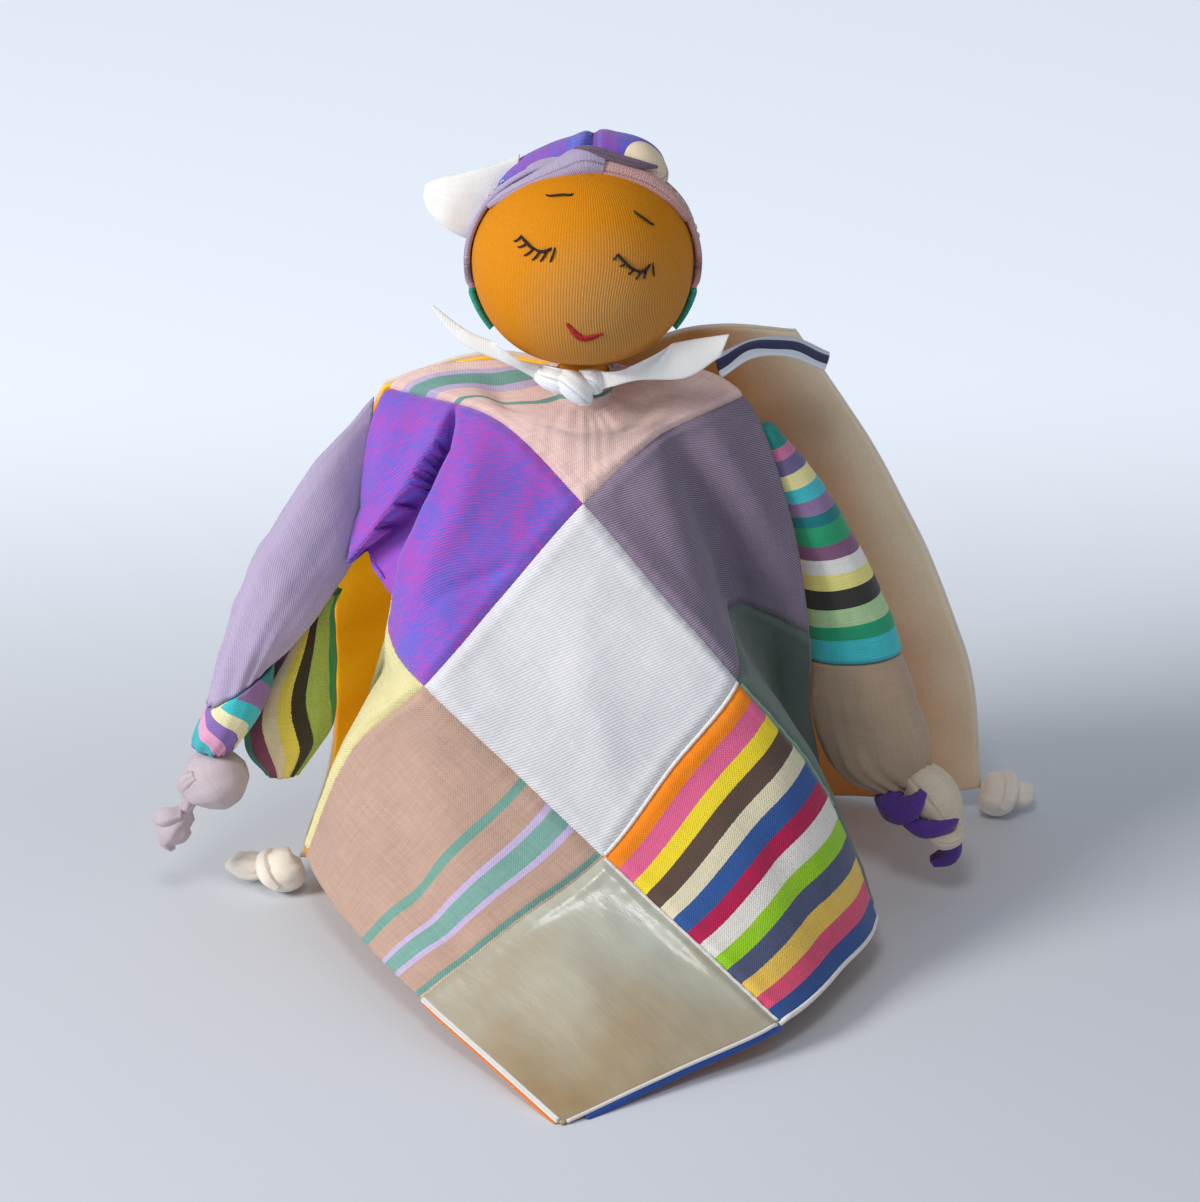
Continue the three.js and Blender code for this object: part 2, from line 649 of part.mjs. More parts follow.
function makeCap() {
  const hoodOut = GAP + HOOD_THICK;
  const hood = toSolid(headBall(hoodOut)).subtract(toSolid(headBall(GAP)));
  const reach = HEAD_WIDTH;
  const level = HEAD_CENTRE.z;
  const back = HOOD_BACK_SEAM;
  const pieces = {
    hood_mauve: [[-reach, HOOD_FRONT, level + HOOD_SIDE + GAP], [-GAP / 2, back, level + reach]],
    hood_pink: [[GAP / 2, HOOD_FRONT, level + HOOD_SIDE + GAP], [reach, back, level + reach]],
    hood_teal_left: [[-reach, HOOD_FRONT, level + HOOD_NAPE], [0, back, level + HOOD_SIDE]],
    hood_teal_right: [[0, HOOD_FRONT, level + HOOD_NAPE], [reach, back, level + HOOD_SIDE]],
    hood_back: [[-reach, back + GAP, level + HOOD_NAPE], [reach, reach, level + reach]],
  };
  const colours = {
    hood_mauve: COLOURS.mauve, hood_pink: COLOURS.pink, hood_teal_left: COLOURS.teal,
    hood_teal_right: COLOURS.teal, hood_back: COLOURS.linen,
  };
  const ridge = toSolid(placedBall(RIDGE)).subtract(toSolid(headBall(GAP)));
  const ridgeRoom = toSolid(placedBall(RIDGE, GAP));
  for (const [name, [from, to]] of Object.entries(pieces)) {
    let piece = hood.intersect(toSolid(box(from, to)));
    if (name === 'hood_mauve') {
      piece = piece.add(ridge);
    } else {
      piece = piece.subtract(ridgeRoom);
    }
    cloth(name, toGeometry(mainPiece(piece)), colours[name]);
  }
  const hoodRoom = toSolid(headBall(hoodOut + GAP));
  const crown = toSolid(placedBall(CROWN)).subtract(hoodRoom).subtract(ridgeRoom);
  const crownBesideBump = crown.subtract(toSolid(placedBall(BUMP, GAP)));
  cloth('crown_violet', toGeometry(mainPiece(crownBesideBump)), COLOURS.violet);
  const bump = toSolid(placedBall(BUMP)).subtract(hoodRoom).subtract(ridgeRoom);
  cloth('crown_peach', toGeometry(mainPiece(bump)), COLOURS.peach);
  const tip = toSolid(sleeveLoft(TIP)).subtract(hoodRoom).subtract(toSolid(placedBall(CROWN, 2 * GAP)));
  cloth('cap_tip', toGeometry(mainPiece(tip)), COLOURS.cream);
}

// Arms

function sleeveLoft(stations, extra = 0) {
  return loft(stations.map(({ outer, inner, depth }) => {
    const a = point(...outer);
    const b = point(...inner);
    const sideways = a.clone().sub(b);
    sideways.setLength(sideways.length() / 2 + extra);
    return ring(a.add(b).multiplyScalar(0.5), sideways, point(0, depth + extra, 0), 16);
  }));
}

function tailTube(path, radii, extra = 0) {
  return roundTube(path.map((p, k) => [point(...p), radii[k] + extra]), 10);
}

function makeArms() {
  cloth('sleeve_left_mauve', sleeveLoft(SLEEVE_LEFT), COLOURS.mauve);
  const cuff = cutBy(sleeveLoft(CUFF_LEFT), sleeveLoft(SLEEVE_LEFT, GAP));
  cloth('cuff_left_striped', cuff, COLOURS.teal);
  const outside = [sleeveLoft(SLEEVE_LEFT, GAP), sleeveLoft(CUFF_LEFT, GAP)];
  const inner = cutBy(sleeveLoft(SLEEVE_LEFT_INNER), ...outside);
  cloth('sleeve_left_inner', inner, COLOURS.yellow);
  const squat = HAND_LEFT_RADIUS * 0.95;
  const leftBall = ball(point(...HAND_LEFT), HAND_LEFT_RADIUS, squat, squat);
  const leftHand = joinAll([leftBall, tailTube(HAND_LEFT_TAIL, HAND_LEFT_TAIL_RADII)]);
  cloth('hand_left', cutBy(toGeometry(leftHand), sleeveLoft(CUFF_LEFT, GAP)), COLOURS.mauve);

  cloth('sleeve_right_striped', sleeveLoft(SLEEVE_RIGHT), COLOURS.stripes);
  const end = cutBy(sleeveLoft(SLEEVE_RIGHT_END), sleeveLoft(SLEEVE_RIGHT, GAP));
  cloth('sleeve_right_linen', end, COLOURS.linen);
  const wrap = (extra) => tailTube(HAND_RIGHT_WRAP, HAND_RIGHT_WRAP_RADII, extra);
  const rightBall = ball(point(...HAND_RIGHT), HAND_RIGHT_RADIUS, HAND_RIGHT_RADIUS, HAND_RIGHT_RADIUS);
  const rightHand = cutBy(rightBall, sleeveLoft(SLEEVE_RIGHT_END, GAP), wrap(GAP));
  cloth('hand_right_cream', rightHand, COLOURS.cream);
  cloth('hand_right_purple', cutBy(wrap(0), sleeveLoft(SLEEVE_RIGHT_END, GAP)), COLOURS.purple);
}

function footBall(middle, extra = 0) {
  const radius = FOOT_KNOT_RADIUS + extra;
  return ball(point(...middle), radius, radius, radius);
}

function makeFootKnots() {
  const knots = [['left', FOOT_LEFT, FOOT_LEFT_TAIL], ['right', FOOT_RIGHT, FOOT_RIGHT_TAIL]];
  for (const [side, middle, path] of knots) {
    const knot = joinAll([footBall(middle), tailTube(path, FOOT_TAIL_RADII)]);
    cloth(`foot_knot_${side}`, cutBy(toGeometry(knot), floorSlab()), COLOURS.cream);
  }
}

// Ribbon and label

const fromKnot = (edge) => edge.map((place) => place.map((value, k) => value + RIBBON_KNOT[k]));

function strip(edges, thick) {
  const surface = netSurface(edges.map((edge) => edge.map((p) => point(...p))));
  const last = edges[0].length - 1;
  return sheet(surface, evenSteps([0, 1], 3), evenSteps([0, last], 10), thick / 2, -thick / 2);
}

function knotLobes(extra) {
  const placed = (middle) => middle.map((value, k) => value + RIBBON_KNOT[k]);
  return RIBBON_LOBES.map(({ middle, size }) => placedBall({ middle: placed(middle), size }, extra));
}

function makeRibbon() {
  const loopRoom = upright(NECK_RADIUS + 2 * GAP + RIBBON_THICK, NECK_BOTTOM, NECK_TOP + NECK_LENGTH);
  const knot = joinAll(knotLobes(0)).subtract(toSolid(loopRoom));
  cloth('ribbon_knot', toGeometry(knot), COLOURS.ribbon);
  for (const [side, edges] of [['right', TAIL_RIGHT], ['left', TAIL_LEFT]]) {
    const tail = strip(edges.map(fromKnot), RIBBON_THICK);
    cloth(`ribbon_tail_${side}`, cutBy(tail, ...knotLobes(TAIL_PLAY)), COLOURS.ribbon);
  }
  cloth('shoulder_label', strip(LABEL, LABEL_THICK), COLOURS.tape);
}

makeFront();
makeBack();
makeHead();
makeFace();
makeNeck();
makeCap();
makeArms();
makeFootKnots();
makeRibbon();

// The origin is on the floor, below the middle of the doll's outline.
const outline = new THREE.Box3().setFromObject(doll, true);
const middle = outline.getCenter(new THREE.Vector3());
doll.position.set(-middle.x, -middle.y, 0);

export default doll;
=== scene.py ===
# A patchwork rag doll in its real cloth: knit head, pointed patchwork cap, draped patches,
# knotted hands and a flannel back cloth.

import json
import math

import bmesh
import bpy
import numpy as np
from mathutils import Matrix, Vector, noise


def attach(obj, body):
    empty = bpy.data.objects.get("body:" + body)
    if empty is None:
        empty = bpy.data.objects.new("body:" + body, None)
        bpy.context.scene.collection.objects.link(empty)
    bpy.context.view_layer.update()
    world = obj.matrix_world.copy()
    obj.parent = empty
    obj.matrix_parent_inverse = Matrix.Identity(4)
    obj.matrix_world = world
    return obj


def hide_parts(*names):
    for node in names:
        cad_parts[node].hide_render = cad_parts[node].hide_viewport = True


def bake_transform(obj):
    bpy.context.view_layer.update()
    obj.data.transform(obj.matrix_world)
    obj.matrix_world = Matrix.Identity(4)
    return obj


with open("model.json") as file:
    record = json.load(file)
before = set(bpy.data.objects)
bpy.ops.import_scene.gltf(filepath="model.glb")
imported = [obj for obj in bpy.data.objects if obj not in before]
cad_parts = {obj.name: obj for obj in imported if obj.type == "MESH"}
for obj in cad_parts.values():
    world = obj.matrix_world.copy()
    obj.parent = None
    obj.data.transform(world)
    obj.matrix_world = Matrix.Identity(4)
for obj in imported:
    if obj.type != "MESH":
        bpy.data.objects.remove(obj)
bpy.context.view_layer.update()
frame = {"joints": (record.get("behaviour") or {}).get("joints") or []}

MM = 0.001
JOINTS = {joint["name"]: Vector(joint["pos_m"]) for joint in frame["joints"]}

# Sizes below are millimetres from the neck's axis on the floor, the doll's own measure.
HEAD_WIDTH = 77.6
HEAD_DEPTH = 74
HEAD_HEIGHT = 72
HEAD_BASE = 216
HEAD_MIDDLE = HEAD_BASE + HEAD_HEIGHT / 2
NECK_JOINT = HEAD_BASE - 1
PATCH_SIDE = 88
PATCH_THICK = 1.6
LINING_UNDER = 1.9
LINING_THICK = 1.0
SHIFT = JOINTS["neck_turn"] - Vector((0, 0, NECK_JOINT * MM))

# Seam crossings of the front cloth: the first index steps down and to the right, the second
# down and to the left, one patch at a time from the neck.
FRONT_CROSSINGS = [
    [[0, 5, 207], [-69, 9, 199.5], [-67.8, -12, 131.5], [-80, 22, 62]],
    [[57, 5, 198], [0, -24, 169], [-56.5, -50, 110], [-101, -13, 26]],
    [[81, -5, 109], [55, -50, 112.5], [7, -76, 56], [-57, -103, 15]],
    [[87, 12, 46], [105, -44, 18], [69, -116, 12], [-7, -168, 1.2]],
]

# How far the cloth between two crossings, or inside a patch, leaves the straight line.
FRONT_FOLDS = {
    (0, 0.5): [0, 5.5, 5.5],
    (0.5, 0): [3, 6, 5.5],
    (0.5, 1): [3, -3, 12],
    (1, 0.5): [-1, -5, 7],
    (0.5, 0.5): [0, -15, -12.5],
    (0, 1.5): [-10.6, -4.5, -6],
    (0.5, 1.5): [2.1, -2.8, 14.5],
    (0.5, 2): [-7.4, 5, -5.2],
    (0, 2.5): [-4, 3, -17],
    (1, 2.5): [-5, 4, 6],
    (0.5, 2.5): [11.8, 5.5, 16.5],
    (1.5, 0): [4, 0, 4],
    (2, 0.5): [-14, 20, 9],
    (1.5, 0.5): [0, -6, 0],
    (1.5, 1.5): [0, -4, 2],
    (2.5, 0): [-2, 2, 0],
    (3, 0.5): [-14, 16, 4],
    (2.5, 1): [5, 2, 5],
    (1.5, 2.5): [-3, -5, 3],
    (2.5, 1.5): [2, -3, 4],
    (1.5, 3): [-4, 0, -2],
    (3, 1.5): [4, -3, 0],
    (2.5, 2.5): [0, 0, 4],
}

# Points of the flannel back cloth, from its left edge to its right edge, top row first.
BACK_POINTS = [
    [[-71, 11.4, 199], [-36, 15, 208], [1, 13, 207], [42, 42, 208], [77, 50, 204]],
    [[-90, 30, 140], [-46, 50, 140], [8, 60, 140], [60, 64, 140], [111, 56, 145]],
    [[-92, 31, 54], [-50, 60, 70], [10, 70, 72], [76, 72, 72], [141, 60, 71]],
    [[-104, 11, 11], [-50, 50, -0.5], [10, 74, -0.5], [80, 78, -0.5], [149, 66, 10]],
]

# The photograph's view: where it looks, how high it stands and how far away.
VIEW_TARGET = Vector((6, 0, 120))
VIEW_RISE = math.radians(25)
VIEW_DISTANCE = 2200
FRAME_WIDTH = 1200
FOCAL_PIXELS = VIEW_DISTANCE / 0.36
SENSOR = 36


def place(x, y, z):
    return Vector((x, y, z)) * MM + SHIFT


# Smooth surfaces through nets of points

def spline_weights(count, steps):
    # What each point of a row counts for at each step of a smooth curve through them.
    table = np.zeros((len(steps), count))
    for row, step in enumerate(steps):
        inside = min(max(step, 0.0), count - 1.0)
        k = min(int(math.floor(inside)), count - 2)
        t = inside - k
        four = (
            (-t + 2 * t * t - t ** 3) / 2,
            (2 - 5 * t * t + 3 * t ** 3) / 2,
            (t + 4 * t * t - 3 * t ** 3) / 2,
            (-t * t + t ** 3) / 2,
        )
        for offset, weight in zip((-1, 0, 1, 2), four):
            index = k + offset
            if index < 0:
                table[row, 0] += 2 * weight
                table[row, 1] -= weight
            elif index > count - 1:
                table[row, count - 1] += 2 * weight
                table[row, count - 2] -= weight
            else:
                table[row, index] += weight
    return table


def net_grid(net, rows, columns):
    down = spline_weights(net.shape[0], rows)
    across = spline_weights(net.shape[1], columns)
    return np.einsum("ai,ijk,bj->abk", down, net, across)


def spline_points(points, count):
    # A smooth open curve through points, in even steps of its parameter.
    net = np.array(points, dtype=float)
    return spline_weights(len(net), np.linspace(0, len(net) - 1, count)) @ net


def front_net():
    # Points every half patch: the crossings, then the cloth between and inside them.
    size = 2 * len(FRONT_CROSSINGS) - 1
    net = np.zeros((size, size, 3))
    net[::2, ::2] = FRONT_CROSSINGS
    fold = lambda i, j: np.array(FRONT_FOLDS.get((i / 2, j / 2), [0, 0, 0]), dtype=float)
    for i in range(size):
        for j in range(1 - i % 2, size, 2):
            ends = net[i, j - 1] + net[i, j + 1] if j % 2 else net[i - 1, j] + net[i + 1, j]
            net[i, j] = ends / 2 + fold(i, j)
    for i in range(1, size, 2):
        for j in range(1, size, 2):
            sides = (net[i - 1, j] + net[i + 1, j] + net[i, j - 1] + net[i, j + 1]) / 2
            ends = (net[i - 1, j - 1] + net[i + 1, j + 1] + net[i - 1, j + 1] + net[i + 1, j - 1]) / 4
            net[i, j] = sides - ends + fold(i, j)
    return net


FRONT_NET = front_net()
BACK_NET = np.array(BACK_POINTS, dtype=float)
SLOPE_STEP = 0.02


def net_slopes(net, rows, columns):
    # Places on the smooth surface through a net, and how it runs down and across there.
    down = net_grid(net, rows + SLOPE_STEP, columns) - net_grid(net, rows - SLOPE_STEP, columns)
    across = net_grid(net, rows, columns + SLOPE_STEP) - net_grid(net, rows, columns - SLOPE_STEP)
    return net_grid(net, rows, columns), down, across


# Meshes

def add_object(name, data):
    obj = bpy.data.objects.new(name, data)
    bpy.context.scene.collection.objects.link(obj)
    return obj


def edit_mesh(mesh, change):
    build = bmesh.new()
    build.from_mesh(mesh)
    change(build)
    build.to_mesh(mesh)
    build.free()


def shade_smooth(mesh):
    mesh.polygons.foreach_set("use_smooth", [True] * len(mesh.polygons))


def finish_mesh(name, points, faces, uvs):
    # Points in the doll's millimetres become one smooth object, with its uv in millimetres.
    mesh = bpy.data.meshes.new(name)
    moved = np.asarray(points, dtype=float) * MM + np.array(SHIFT)
    mesh.from_pydata(moved.tolist(), [], [tuple(int(i) for i in face) for face in faces])
    layer = mesh.uv_layers.new(name="cloth")
    corner = np.zeros(len(mesh.loops), dtype=np.int32)
    mesh.loops.foreach_get("vertex_index", corner)
    layer.data.foreach_set("uv", np.asarray(uvs, dtype=np.float32)[corner].ravel())
    obj = add_object(name, mesh)
    edit_mesh(mesh, lambda build: bmesh.ops.recalc_face_normals(build, faces=build.faces))
    shade_smooth(mesh)
    return obj


def unit(vectors):
    length = np.linalg.norm(vectors, axis=-1, keepdims=True)
    return vectors / np.maximum(length, 1e-9)


def grid_normals(grid):
    return unit(np.cross(np.gradient(grid, axis=1), np.gradient(grid, axis=0)))


def distances(path):
    # How far along a path each of its points lies.
    return np.concatenate([[0], np.cumsum(np.linalg.norm(np.diff(path, axis=0), axis=1))])


def grid_faces(rows, columns, closed=False):
    # Faces between points listed row by row. closed joins each row's ends.
    faces = []
    for r in range(rows - 1):
        for c in range(columns if closed else columns - 1):
            a, b = r * columns + c, r * columns + (c + 1) % columns
            faces.append((a, b, b + columns, a + columns))
    return faces


def close_tube(points, uvs, sides, ends):
    # The faces of a tube listed ring by ring. ends gives the middle and the uv of its two caps.
    last = len(points) - sides
    faces = grid_faces(len(points) // sides, sides, closed=True)
    for first, (centre, uv) in zip((0, last), ends):
        middle = len(points)
        points.append(centre)
        uvs.append(uv)
        for s in range(sides):
            a, b = first + s, first + (s + 1) % sides
            faces.append((middle, b, a) if first == 0 else (middle, a, b))
    return faces


def shell(name, outer, normals, thick, uv):
    # A sheet of cloth as a closed body: its outer face, its inner face and a rounded edge.
    rows, columns = outer.shape[:2]
    count = rows * columns
    inner = outer - normals * thick
    middle = (outer + inner) / 2
    faces = []
    for quad in grid_faces(rows, columns):
        faces += [quad, tuple(count + quad[k] for k in (0, 3, 2, 1))]
    rim = [(0, c) for c in range(columns)] + [(r, columns - 1) for r in range(1, rows)]
    rim += [(rows - 1, c) for c in range(columns - 2, -1, -1)] + [(r, 0) for r in range(rows - 2, 0, -1)]
    edge = []
    for k, (r, c) in enumerate(rim):
        away = middle[r, c] - middle[min(max(r, 1), rows - 2), min(max(c, 1), columns - 2)]
        edge.append(middle[r, c] + away / max(np.linalg.norm(away), 1e-9) * thick * 0.35)
        follow = (k + 1) % len(rim)
        a, b = r * columns + c, rim[follow][0] * columns + rim[follow][1]
        m, n = 2 * count + k, 2 * count + follow
        faces += [(a, m, n, b), (m, count + a, count + b, n)]
    points = np.concatenate([outer.reshape(-1, 3), inner.reshape(-1, 3), edge])
    uvs = np.concatenate([uv.reshape(-1, 2)] * 2 + [[uv[r, c] for r, c in rim]])
    return finish_mesh(name, points, faces, uvs)


def tube(name, path, radii, sides=12, twist=0.0, shape=None):
    # A round body along a path. shape(t, angle) swells or creases it.
    path = np.asarray(path, dtype=float)
    along = unit(np.gradient(path, axis=0))
    side = unit(np.cross(along[0], [0.3, 0.2, 1.0]))
    length = distances(path)
    points, uvs = [], []
    for k, centre in enumerate(path):
        side = unit(side - along[k] * np.dot(side, along[k]))
        other = np.cross(along[k], side)
        t = k / (len(path) - 1)
        for s in range(sides):
            angle = 2 * math.pi * s / sides
            turned = angle + twist * t
            radius = radii[k] * (shape(t, angle) if shape else 1.0)
            points.append(centre + (side * math.cos(turned) + other * math.sin(turned)) * radius)
            uvs.append((angle * radii[k], length[k]))
    faces = close_tube(points, uvs, sides, [(path[0], (0, length[0])), (path[-1], (0, length[-1]))])
    return finish_mesh(name, points, faces, uvs)


def joined(name, parts):
    # Several closed bodies of one piece, as one object.
    with bpy.context.temp_override(
        active_object=parts[0], selected_editable_objects=parts, selected_objects=parts
    ):
        bpy.ops.object.join()
    parts[0].name = parts[0].data.name = name
    return parts[0]


def soft_noise(points, scale, seed=0.0):
    # Smooth noise, -1 to 1, at places in millimetres.
    flat = np.asarray(points, dtype=float).reshape(-1, 3) / scale
    values = [noise.noise(Vector((x + seed, y, z))) for x, y, z in flat]
    return np.array(values).reshape(np.asarray(points).shape[:-1])


# Materials

class Value:
    # What a node gives, so that a material can be written as plain sums.

    def __init__(self, nodes, socket):
        self.nodes, self.socket = nodes, socket

    def __add__(self, other):
        return self.nodes.math("ADD", self, other)

    def __sub__(self, other):
        return self.nodes.math("SUBTRACT", self, other)

    def __mul__(self, other):
        return self.nodes.math("MULTIPLY", self, other)

    def __truediv__(self, other):
        return self.nodes.math("DIVIDE", self, other)

    def sine(self):
        return self.nodes.math("SINE", self)

    def wave(self):
        return self.sine() * 0.5 + 0.5


class Nodes:
    # Builds one material.

    def __init__(self, name, with_uv=True):
        self.material = bpy.data.materials.new(name)
        self.material.use_nodes = True
        self.tree = self.material.node_tree
        self.shader = self.tree.nodes["Principled BSDF"]
        if with_uv:
            self.x, self.y, _ = self.split(self.node("UVMap", [], uv_map="cloth"))

    def feed(self, target, value):
        if isinstance(value, Value):
            self.tree.links.new(value.socket, target)
        else:
            target.default_value = value

    def node(self, kind, inputs, out=0, **settings):
        # A new node, with its inputs in a row or by their places or names. Gives one output.
        node = self.tree.nodes.new("ShaderNode" + kind)
        for key, value in settings.items():
            setattr(node, key, value)
        for key, value in inputs.items() if isinstance(inputs, dict) else enumerate(inputs):
            self.feed(node.inputs[key], value)
        return Value(self, node.outputs[out])

    def math(self, operation, *values):
        return self.node("Math", values, operation=operation)

    def mix(self, factor, a, b, blend="MIX"):
        return self.node("Mix", {0: factor, 6: a, 7: b}, out=2, data_type="RGBA", blend_type=blend)

    def shaded(self, colour, tone):
        return self.mix(1.0, colour, tone, "MULTIPLY")

    def grey(self, shade):
        return self.node("CombineColor", [shade] * 3)

    def vector(self, *values):
        return self.node("CombineXYZ", values)

    def split(self, vector):
        outputs = self.node("SeparateXYZ", [vector]).socket.node.outputs
        return [Value(self, socket) for socket in outputs]

    def place(self):
        return self.node("TexCoord", [], out="Object")

    def noise(self, vector, scale, detail):
        return self.node("TexNoise", {"Vector": vector, "Scale": scale, "Detail": detail}, out="Fac")

    def ramp(self, factor, stops, interpolation="LINEAR"):
        made = self.node("ValToRGB", [factor])
        ramp = made.socket.node.color_ramp
        ramp.interpolation = interpolation
        ramp.elements[0].position, ramp.elements[0].color = stops[0]
        ramp.elements[1].position, ramp.elements[1].color = stops[-1]
        for position, colour in stops[1:-1]:
            ramp.elements.new(position).color = colour
        return made

    def bump(self, height, distance):
        normal = self.node("Bump", {"Strength": 1.0, "Distance": distance * MM, "Height": height})
        self.feed(self.shader.inputs["Normal"], normal)

    def done(self, colour, rough, shine, more={}):
        # Sets the shader's sockets, with more of them by name, and gives the material.
        looks = {"Base Color": colour, "Roughness": rough, "Specular IOR Level": shine, **more}
        for socket, value in looks.items():
            self.feed(self.shader.inputs[socket], value)
        return self.material


def linear(red, green, blue):
    # A colour as seen on screen, 0 to 255, in the renderer's own numbers.
    curve = lambda c: c / 12.92 if c <= 0.04045 else ((c + 0.055) / 1.055) ** 2.4
    return tuple(curve(value / 255) for value in (red, green, blue)) + (1.0,)


def grey(level):
    return (level, level, level, 1)


NONE, FULL = grey(0), grey(1)


def stripes_of(*rows):
    # Each row is a start in millimetres and a colour, by its numbers or by its name.
    return [(row[0], row[1] if len(row) == 2 else linear(*row[1:])) for row in rows]


def woven(name, main, cross=None, stripes=None, across="x", pitch=1.1, weave="plain", mottle=0.5,
          relief=0.22, fleck=None, spot=None):
    # Cloth with visible threads, plain or striped across one direction. fleck is a colour that
    # shows here and there, and spot the place, reach and colour of a small bit of other cloth.
    n = Nodes(name)
    flat = n.vector(n.x, n.y)
    wander = (n.noise(flat, 0.05, 1.0) - 0.5) * (pitch * 1.5)
    x, y = n.x + wander, n.y + wander
    turn = 2 * math.pi / pitch
    if weave == "twill":
        ridge, grain = (x * (turn * 0.9) + y * (turn * 0.44)).wave(), (y * (turn * 2)).wave()
    else:
        weft = (y * turn).sine()
        ridge, grain = (x * turn).sine() * weft * 0.5 + 0.5, weft * 0.5 + 0.5
    threads = n.noise(n.vector(x * 0.08, y / pitch), 1.0, 2.0)
    threads_across = n.noise(n.vector(x / pitch, y * 0.08), 1.0, 2.0)
    colour = main
    if stripes:
        span = stripes[-1][0] + 1.0
        shaken = (n.x if across == "x" else n.y) + (threads - 0.5) * 0.5
        colour = n.ramp(shaken / span, [(start / span, tint) for start, tint in stripes], "CONSTANT")
    if cross:
        colour = n.mix(ridge * 0.75, colour, cross)
    if fleck:
        spots = n.ramp(n.noise(flat, 0.55, 3.0), [(0.56, NONE), (0.66, FULL)])
        colour = n.mix(spots * 0.8, colour, fleck)
    shade = (threads * 0.5 + threads_across * 0.5 - 0.5) * (mottle * 1.3) + 0.98
    shade = shade + (n.noise(flat, 0.035, 3.0) - 0.5) * (mottle * 0.35)
    colour = n.shaded(colour, n.grey(shade * (ridge * 0.16 + 0.88)))
    if spot:
        at, reach, tint = spot
        apart = n.node("VectorMath", [n.place(), place(*at)], out="Value", operation="DISTANCE")
        colour = n.mix(n.ramp((apart / MM - reach) / 0.4, [(0.0, FULL), (1.0, NONE)]), colour, tint)
    n.bump(ridge * 0.7 + grain * 0.2 + threads * 0.5, relief)
    return n.done(colour, threads * -0.12 + 0.91, 0.2, {"Sheen Weight": 0.25})


def shot_cloth(name, main, cross, fleck):
    # Cloth of one colour one way and another the other way, in uneven threads.
    n = Nodes(name)
    long = n.noise(n.vector(n.x * 0.22, n.y * 1.5), 1.0, 3.0)
    short = n.noise(n.vector(n.x * 0.4, n.y * 1.7), 1.2, 2.0)
    patchy = n.noise(n.vector(n.x, n.y, 5.0), 0.06, 2.0) - 0.5
    colour = n.mix(n.ramp(long + patchy * 0.5, [(0.44, NONE), (0.62, FULL)]), main, cross)
    spots = n.ramp(short - patchy * 0.35, [(0.52, NONE), (0.66, FULL)])
    weft, warp = ((way * (2 * math.pi / 0.9)).wave() for way in (n.y, n.x))
    shade = n.ramp(weft * warp, [(0.0, grey(0.84)), (0.8, FULL)])
    n.bump(weft + long * 0.8, 0.12)
    return n.done(n.shaded(n.mix(spots * 0.7, colour, fleck), shade), 0.78, 0.2, {"Sheen Weight": 0.3})


def satin_cloth(name, main, dark):
    # Glossy satin: fine long floats, broad soft highlights; greyer near the middle seam, golden
    # and duller towards the lower corner.
    n = Nodes(name)
    floats = n.noise(n.vector(n.x * 0.25, n.y * 3.0), 1.0, 2.0)
    ripple = n.noise(n.vector(n.x * 0.05, n.y * 0.16), 1.0, 3.0)
    lower = (n.x + n.y) * (1 / (2 * PATCH_SIDE)) - 2.0
    warm = n.noise(n.vector(n.x, n.y), 0.03, 2.0) * 0.9 + (lower * 0.9 - 0.45)
    n.bump(floats * 0.6 + ripple * 7.0, 0.06)
    rough = floats * 0.1 + 0.15 + lower * 0.3
    return n.done(n.mix(warm, main, dark), rough, 0.9, {"Anisotropic": 0.4, "Sheen Weight": 0.1})


def brushed(n, colour, dark, relief, rough, more):
    # Brushed cotton: no visible thread, a fuzzy nap and faint creases.
    fuzz = n.noise(n.place(), 1400.0, 4.0)
    n.bump(fuzz + n.noise(n.place(), 300.0, 3.0) * 1.5, relief)
    tone = n.ramp(fuzz, [(0.25, grey(dark)), (0.75, FULL)])
    return n.done(n.shaded(colour, tone), rough, 0.15, more)


def flannel(name, main, deep, nap=1.0):
    n = Nodes(name)
    cloud = n.noise(n.place(), 60.0, 3.0)
    return brushed(n, n.mix(cloud * 0.8 - 0.1, main, deep), 0.86, 0.16 * nap, 0.95,
                   {"Sheen Weight": 0.5, "Sheen Roughness": 0.6})


def shaded_lining(name, deep, pale):
    # The lining behind the right arm: deep orange by the body, paler towards the free edge. The darkness
    # by the body is painted shade over the lining's own warm colour.
    n = Nodes(name)
    wobble = (n.noise(n.place(), 22.0, 2.0) - 0.5) * 24.0
    reach = n.x - n.y * 0.1 + wobble
    # Painted shade: darker towards the body, paler towards the free edge.
    factor = n.ramp(reach * (1 / 40) - 166 / 40, [(0.0, NONE), (1.0, FULL)])
    return brushed(n, n.mix(factor, deep, pale), 0.88, 0.12, 0.92, {"Sheen Weight": 0.3})


def banded_lining(name, bands):
    # Soft yellow and orange bands across the cloth, with a painted glow: an even orange emission stands
    # in for daylight shining through it from behind.
    n = Nodes(name)
    span = bands[-1][0]
    wander = (n.noise(n.vector(n.x, n.y), 0.06, 2.0) - 0.5) * 8.0
    colour = n.ramp((n.y + wander) / span, [(at / span, tint) for at, tint in bands])
    n.bump((n.x * 6.0).sine() * (n.y * 6.0).sine() * 0.5 + 0.5, 0.1)
    # Painted glow: the emission stands in for daylight coming through the cloth.
    return n.done(colour, 0.85, 0.2, {"Emission Color": linear(214, 144, 6), "Emission Strength": 0.42})


def thread_material(name, colour, shine=0.4):
    n = Nodes(name)
    twist = (n.x * 6.0 + n.y * 9.0).wave()
    n.bump(twist, 0.12)
    return n.done(n.shaded(colour, n.ramp(twist, [(0.0, grey(0.75)), (1.0, FULL)])), 0.6, shine)


def grosgrain():
    n = Nodes("grosgrain")
    rib = (n.x * (2 * math.pi / 0.8)).wave()
    fine = n.noise(n.vector(n.x * 1.2, n.y * 0.2), 1.0, 2.0)
    n.bump(rib + fine * 0.4, 0.06)
    colour = n.shaded(linear(246, 245, 243), n.grey(rib * 0.04 + 0.95))
    return n.done(colour, 0.5, 0.4, {"Sheen Weight": 0.2})


